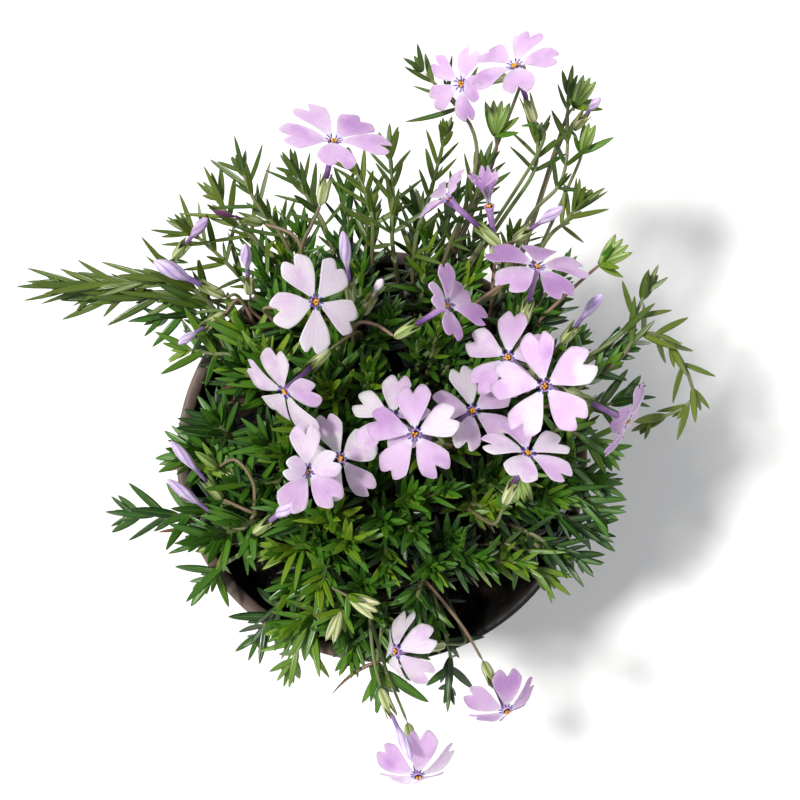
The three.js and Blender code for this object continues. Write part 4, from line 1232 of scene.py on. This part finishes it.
def try_leaf(pile, frame_at, turn, opening, length, curl, sway, width, tone):
    """Places a leaf where it is clear of flowers, buds and pot, or not at all."""
    for share in (1, 0.7):
        for more in TURNS_TO_TRY:
            leaf = leaf_on(frame_at, turn + more, opening, length * share, curl, sway)
            points = leaf_line(leaf, [0.2, 0.4, 0.6, 0.8, 1])
            if not any(meets(points) for meets in IN_THE_WAY):
                add_leaf(pile, leaf, width, tone)
                return


def leaf_size_at(point):
    """Leaves are broad and long on the left of the cushion, and finer towards its right."""
    return mix(*LEFT_TO_RIGHT_SIZES, held((point[0] - FINER_FROM) / FINER_OVER))


def leaves_of(pile, shoot):
    """Pairs of leaves up a shoot, each a quarter turn from the last, with tufts between."""
    draw = seeded(shoot.key + SEEDS["leaves"])
    extra = seeded(shoot.key + 3 * SEEDS["leaves"])
    kind = shoot.kind
    points, ways, sides, faces = frames_along(shoot.curve, np.linspace(0, 1, CURVE_STEPS + 1))
    shrink = 0 if kind == "arm" else LEAF_SHRINK
    shoot_tone = mix(0.0, 0.75, extra() ** 1.4)
    first_tone = OLIVE if shoot.olive else 0
    for i in range(shoot.pairs):
        up = i / (shoot.pairs - 1)
        place = int(CURVE_STEPS * mix(shoot.bare, LEAF_LAST, up) + 0.5)
        frame_at = points[place], ways[place], sides[place], faces[place]
        size = leaf_size_at(points[place]) * (STALK_LEAF_SIZE if kind == "stalk" else 1)
        slim = mix(1, SLIM_SHARE, held((points[place][1] - SLIM_FROM) / SLIM_OVER))
        if kind in ("long", "arm"):
            size = max(size, LEAST_LONG_SIZE)
        spin = draw() * LEAF_TURN_VARY + i * math.pi / 2
        for side in range(2):
            opening = math.radians(mix(*LEAF_OPENING[kind], up) + LEAF_OPENING_VARY * (draw() - 0.5))
            length = LEAF_LENGTH * (1 - shrink * up**2) * mix(*LEAF_SIZES, draw()) * size
            curl = mix(*LEAF_CURLS, draw())
            tone = held(shoot_tone + 0.35 * up * extra() + 0.5 * (extra() - 0.5)) + first_tone
            if kind == "mat" and up < 0.3 and extra() > 0.9:
                tone = DRY
            width = LEAF_WIDTH * mix(*LEAF_WIDTHS, extra()) * math.sqrt(size) * slim
            sway = 0.12 * (extra() - 0.5)
            turn = spin + side * math.pi
            try_leaf(pile, frame_at, turn, opening, length, curl, sway, width, tone)
            if kind != "stalk" and extra() > 0.5:
                small = length * mix(0.45, 0.75, extra())
                tuft_turn = turn + mix(0.5, 1.1, extra())
                tuft_opening = opening * mix(0.5, 0.8, extra())
                try_leaf(pile, frame_at, tuft_turn, tuft_opening, small, curl, sway, width * 0.8, tone)
    if kind != "stalk":
        end = points[-1], ways[-1], sides[-1], faces[-1]
        for k in range(TIP_LEAVES):
            turn = k * GOLDEN_ANGLE + extra()
            opening = math.radians(mix(*TIP_OPENING, k / (TIP_LEAVES - 1)))
            length = mix(*TIP_LENGTHS, extra())
            tone = first_tone + min(1, shoot_tone + 0.3 * extra())
            try_leaf(pile, end, turn, opening, length, 0.05, 0, LEAF_WIDTH * 0.65, tone)


def add_stem(pile, through, radius, tone):
    """A round stem along a curve, which thins as it rises and ends in a point."""
    shares = np.linspace(0, 1, STEM_STATIONS)
    points, _, sides, faces = frames_along(through, shares)
    rings = [points[:1]]
    for i in range(1, STEM_STATIONS - 1):
        thick = radius * mix(*STEM_TAPER, shares[i])
        rings.append(circle(points[i], sides[i], faces[i], thick, STEM_SIDES))
    rings.append(points[-1:])
    across = np.linspace(-1, 1, STEM_SIDES)
    pile.loft(rings, "stem", lays_of(rings, across, shares, tone))


def root_stem(pile, i):
    """The stem that stands in the soil, thickest at the soil's top."""
    heights = [-ROOT_DEPTH, -2, 0, 3, 7, CROWN_HEIGHT - 1, CROWN_HEIGHT]
    widths = [0.5, 0.9, 1.05, 1, 0.9, 0.8, 0.5]
    profile = [(ROOT_RADIUS * width, height) for height, width in zip(heights, widths)]
    pile.loft(turned(root_place(i), UP, profile, ROOT_SIDES), "stem", (0, 0, 0.8))


# ---------- calyxes ----------

FIVEFOLD_COLUMNS = 30
CALYX_RIB = 0.12
# the teeth of an open calyx, as shares of its length: where they part and how far they rise
TOOTH_FOOT = 0.62
TOOTH_RISE = 0.4
# up each calyx, shares of its length and of its radius
OPEN_OUTSIDE = [(0.04, 0.5), (0.12, 0.78), (0.28, 0.94), (0.48, 1), (0.68, 0.98),
                (0.86, 1), (1, 1.04)]
OPEN_INSIDE = [(0.99, 0.95), (0.8, 0.86), (0.5, 0.75)]
SHUT_OUTSIDE = [(0.02, 0.5), (0.1, 0.72), (0.25, 0.95), (0.42, 1), (0.6, 0.88),
                (0.76, 0.62), (0.9, 0.3)]


def across_fifths():
    """For each column of a form in five parts, its place across its own part, from 0 to 1."""
    return np.arange(FIVEFOLD_COLUMNS) / FIVEFOLD_COLUMNS * 5 % 1


def add_calyx(pile, foot, way, is_open, tone):
    """Five ribbed sepals: a toothed cup for an open flower, or shut to a point."""
    side, face = square_to(way)
    across = across_fifths() * 2 - 1
    rib = CALYX_RIB * np.cos(across * math.pi / 2) ** 2

    def ring(heights, radii):
        level = circle(foot, side, face, radii, FIVEFOLD_COLUMNS)
        return level + np.outer(np.broadcast_to(heights, FIVEFOLD_COLUMNS), way)

    rings = [(foot - way * 0.6)[None]]
    if is_open:
        top = CALYX_LENGTH * (TOOTH_FOOT + TOOTH_RISE * (1 - np.abs(across)))
        for share, wide in OPEN_OUTSIDE:
            rings.append(ring(top * share, CALYX_RADIUS * wide + rib * min(1, share * 3)))
        for share, wide in OPEN_INSIDE:
            rings.append(ring(top * share, CALYX_RADIUS * wide))
        rings.append((foot + way * CALYX_LENGTH * 0.28)[None])
        along = [0, *(share for share, _ in OPEN_OUTSIDE + OPEN_INSIDE), 0.3]
    else:
        for share, wide in SHUT_OUTSIDE:
            rings.append(ring(SHUT_LENGTH * share, SHUT_RADIUS * wide + rib))
        rings.append((foot + way * SHUT_LENGTH)[None])
        along = [0, *(share for share, _ in SHUT_OUTSIDE), 1]
    pile.loft(rings, "calyx", lays_of(rings, across, along, tone))


def add_bracts(pile, shoot):
    """Short leaves that fan out under a green head."""
    foot, way, _ = shoot.calyxes[0]
    draw = seeded(shoot.key + 7 * SEEDS["leaves"])
    frame_at = foot - way * 0.6, way, *square_to(way)
    for k in range(BRACTS):
        length = BRACT_LENGTH * mix(0.7, 1.05, draw())
        opening = math.radians(mix(*BRACT_OPENING, draw()))
        leaf = leaf_on(frame_at, k * 2 * math.pi / BRACTS + draw(), opening, length, 0.1, 0)
        add_leaf(pile, leaf, LEAF_WIDTH * 0.85, mix(0.5, 1, draw()))


def foliage(i, growth):
    """One spray: its root stem, shoots, leaves, stalks and calyxes."""
    pile = Pile("leaf", "stem", "calyx")
    root_stem(pile, i)
    for shoot in growth:
        if shoot.spray != i:
            continue
        draw = seeded(shoot.key + 5 * SEEDS["leaves"])
        reddish = draw() if shoot.kind == "stalk" else 0.4 * draw()
        add_stem(pile, shoot.curve, shoot.radius, reddish)
        leaves_of(pile, shoot)
        for foot, way, is_open in shoot.calyxes:
            cream = mix(0.35, 1, draw()) if is_open else shoot.cream * mix(0.6, 1.1, draw())
            add_calyx(pile, foot, way, is_open, cream)
        if shoot.cream:
            add_bracts(pile, shoot)
    for at, turn, tilt, length, curl, sway, width, tone in LONE_LEAVES:
        if spray_near(at[0], at[1]) == i:
            frame_at = vec(*at), UP, *square_to(UP)
            leaf = leaf_on(frame_at, math.radians(turn), math.radians(tilt), length, curl, sway)
            add_leaf(pile, leaf, width, tone)
    pile.build(f"foliage_{i + 1:02d}", f"spray_{i + 1:02d}")


# ---------- flowers ----------

PETAL_ROWS = np.linspace(0, 1, 13)
PETAL_COLUMNS = np.array([-1, -0.9, -0.75, -0.58, -0.42, -0.28, -0.16, -0.07, 0,
                          0.07, 0.16, 0.28, 0.42, 0.58, 0.75, 0.9, 1])
PETAL_START = 0.075
# how petals differ: in reach, width, the depth of the notch, droop, twist and colour
PETAL_REACHES = (0.97, 1.03)
PETAL_WIDTHS = (0.94, 1.04)
PETAL_NOTCHES = (0.13, 0.24)
PETAL_DROOPS = (-0.5, 0.8)
PETAL_TWIST = 0.12
VIOLET_VARY = 0.35
ANTHER_LENGTH = 0.95
ANTHER_WIDTH = 0.58
ANTHER_CIRCLE = 0.42


def petal_half_width(u):
    """Half a petal's width at a share of the flower's radius, as a share of that radius."""
    return 0.36 * np.sin(math.pi / 2 * np.minimum(1, u / 0.84)) ** 1.4


def add_petal(pile, flower, angle, draw):
    """A wedge petal, notched between two round lobes, with a little lift and ruffle."""
    centre, way = aimed(flower)
    out = spoke_of(flower, angle)
    across = spoke_of(flower, angle + math.pi / 2)
    rise = rise_toward(flower, out)
    narrow = min(1, math.cos(rise) / PETAL_ROOM)
    reach = flower.reach * mix(*PETAL_REACHES, draw())
    rows, columns = PETAL_ROWS[:, None], PETAL_COLUMNS[None, :]
    off = np.abs(columns)
    beside_notch = np.minimum(1, np.abs(columns - mix(-0.12, 0.12, draw())) / 0.42)
    notch = mix(*PETAL_NOTCHES, draw()) * (1 - beside_notch) ** 1.6
    edge = 1 - notch - 0.23 * np.maximum(0, off - 0.35) ** 2 / 0.65**2
    u = PETAL_START + (edge - PETAL_START) * rows
    x = u * reach
    y = columns * petal_half_width(u) * reach * narrow * mix(*PETAL_WIDTHS, draw())
    droop = mix(*PETAL_DROOPS, draw())
    twist = PETAL_TWIST * mix(-1, 1, draw())
    phase = 6 * draw()
    lift = 0.5 * np.sin(math.pi * np.minimum(u, 1)) - droop * np.maximum(0, u - 0.45) ** 2 * 3
    channel = 0.5 * off**2 * np.sin(math.pi * np.minimum(u, 1)) - 0.35 * off**3 * u**3
    ruffle = 0.16 * np.sin(columns * 4 + phase) * u**3 + twist * columns * u * 3
    z = lift + channel + ruffle
    rise += math.radians(mix(-3, 3, draw()))
    main = out * math.cos(rise) + way * math.sin(rise)
    up = way * math.cos(rise) - out * math.sin(rise)
    top = centre + x[..., None] * main + y[..., None] * across + z[..., None] * up
    thin = PETAL_THICKNESS * (0.45 + 0.55 * (1 - off**4) * (1 - rows**6))
    bottom = top - thin[..., None] * up
    points = np.vstack([top.reshape(-1, 3), bottom.reshape(-1, 3)])
    violet = held(flower.violet + mix(-VIOLET_VARY, VIOLET_VARY, draw()))
    flat = np.stack([x, y, np.full_like(x, violet)], axis=-1).reshape(-1, 3)
    pile.add(points, sheet_faces(len(PETAL_ROWS), len(PETAL_COLUMNS)), "petal", np.vstack([flat, flat]))


def add_tube(pile, centre, way, violet):
    """The flower's tube, which flares into the petals and is hollow at its throat."""
    profile = [(0.6, -TUBE_SHOWN - TUBE_SUNK), (0.66, -TUBE_SHOWN * 0.6), (0.8, -2), (1, -0.9)]
    profile += [(1.2, -0.35), (1.25, 0), (1.05, 0.12), (THROAT_RADIUS, -0.1), (0.72, -0.8), (0.6, -2.2)]
    rings = turned(centre, way, [*profile, (0, -3)], TUBE_SIDES)
    along = [0, 0.35, 0.7, 0.82, 0.92, 0.97, 1.0, 1.06, 1.12, 1.2, 1.3]
    across = np.linspace(-1, 1, TUBE_SIDES)
    pile.loft(rings, "tube", lays_of(rings, across, along, violet))


def open_flower(i):
    """Five petals on a tube, with anthers at its throat."""
    flower = FLOWERS[i]
    draw = seeded(SEEDS["petals"] + i)
    centre, way = aimed(flower)
    pile = Pile("petal", "tube", "anther")
    for k in range(5):
        add_petal(pile, flower, math.radians(flower.spin) + k * 2 * math.pi / 5, draw)
    add_tube(pile, centre, way, flower.violet)
    anthers = 3 + int(2.9 * draw())
    first = 2 * math.pi * draw()
    for k in range(anthers):
        out = spoke_of(flower, first + 2 * math.pi * (k + 0.3 * draw()) / anthers)
        at = centre + out * ANTHER_CIRCLE + way * mix(0.0, 0.4, draw())
        leaning = unit(way + out * mix(0.2, 0.9, draw()))
        pellet(pile, at, leaning, ANTHER_LENGTH, ANTHER_WIDTH, "anther", draw())
    pile.build(f"flower_{i + 1:02d}", f"bloom_{i + 1:02d}")


# ---------- buds ----------

BUD_TWIST = 2.2
# up a bud past its calyx, shares of its length and of its girth
BUD_OUTSIDE = [(0, 0.36), (0.12, 0.38), (0.26, 0.42), (0.36, 0.62), (0.46, 0.86), (0.56, 0.98),
               (0.66, 1), (0.76, 0.92), (0.85, 0.74), (0.92, 0.5), (0.97, 0.28)]


def closed_bud(i):
    """A furled bud: five petals wound round each other, on the end of its tube."""
    bud = BUDS[i]
    shown = bud.shown
    foot, way = aimed(bud)
    side, face = square_to(way)
    seat = foot + way * CALYX_LENGTH
    seam = across_fifths()
    overlap = 1 + 0.16 * (seam - 0.5)
    fat = BUD_RADIUS * bud.girth * min(1, shown / 13 + 0.25)
    rings = [(seat - way * (TUBE_SUNK + 1))[None]]
    for share, width in BUD_OUTSIDE:
        at = seat + way * shown * share
        ridged = mix(1, overlap, held((share - 0.2) * 5))
        rings.append(circle(at, side, face, fat * width * ridged, FIVEFOLD_COLUMNS, BUD_TWIST * share))
    rings.append((seat + way * shown)[None])
    pile = Pile("bud")
    along = [0, *(share for share, _ in BUD_OUTSIDE), 1]
    pile.loft(rings, "bud", lays_of(rings, seam, along, bud.faded))
    pile.build(f"closed_bud_{i + 1:02d}", f"bud_{i + 1:02d}")


# ---------- floor, light and camera ----------

FLOOR_HALF = 2500
FLOOR_BELOW = 0.2
# the key light: its strength, its width in the sky, its tilt from straight above and its turn
KEY_STRENGTH = 3.7
KEY_SOFTNESS = 8
KEY_TILT = 26
KEY_TURN = 165
SKY_STRENGTH = 0.58
CAMERA_PLACE = (4.6, 14.5, 492)
CAMERA_LENS = 70.65


def stage_and_light():
    half = FLOOR_HALF
    corners = [(-half, -half, 0), (half, -half, 0), (half, half, 0), (-half, half, 0)]
    mesh = new_mesh("floor", corners, [(0, 1, 2, 3)])
    finish(material("floor"), (0.86, 0.86, 0.86), 0.9)
    mesh.materials.append(FINISHES["floor"])
    floor = add_object("floor", mesh)
    floor.location.z = -FLOOR_BELOW * MM
    key = bpy.data.lights.new("key", "SUN")
    key.energy = KEY_STRENGTH
    key.angle = math.radians(KEY_SOFTNESS)
    key.color = (1, 0.98, 0.95)
    lamp = add_object("key", key)
    lamp.rotation_euler = (0, math.radians(KEY_TILT), math.radians(KEY_TURN))
    world = bpy.data.worlds.new("studio")
    world.use_nodes = True
    sky = world.node_tree.nodes["Background"].inputs
    sky[0].default_value = (0.96, 0.98, 1, 1)
    sky[1].default_value = SKY_STRENGTH
    bpy.context.scene.world = world
    bpy.context.scene.view_settings.view_transform = "Standard"


def camera_above():
    """Straight above the pot, with +Y up the picture."""
    lens = bpy.data.cameras.new("camera")
    lens.lens = CAMERA_LENS
    lens.sensor_width = 36
    lens.clip_start = 0.02
    camera = add_object("camera", lens)
    camera.location = vec(*CAMERA_PLACE) * MM
    bpy.context.scene.camera = camera


# ---------- assembly ----------

make_finishes()
camera_above()
stage_and_light()
pot_shell()
soil_mix()
growth = mat_shoots() + long_shoots() + stalks()
for number in range(SPRAYS):
    foliage(number, growth)
for number in range(len(FLOWERS)):
    open_flower(number)
for number in range(len(BUDS)):
    closed_bud(number)
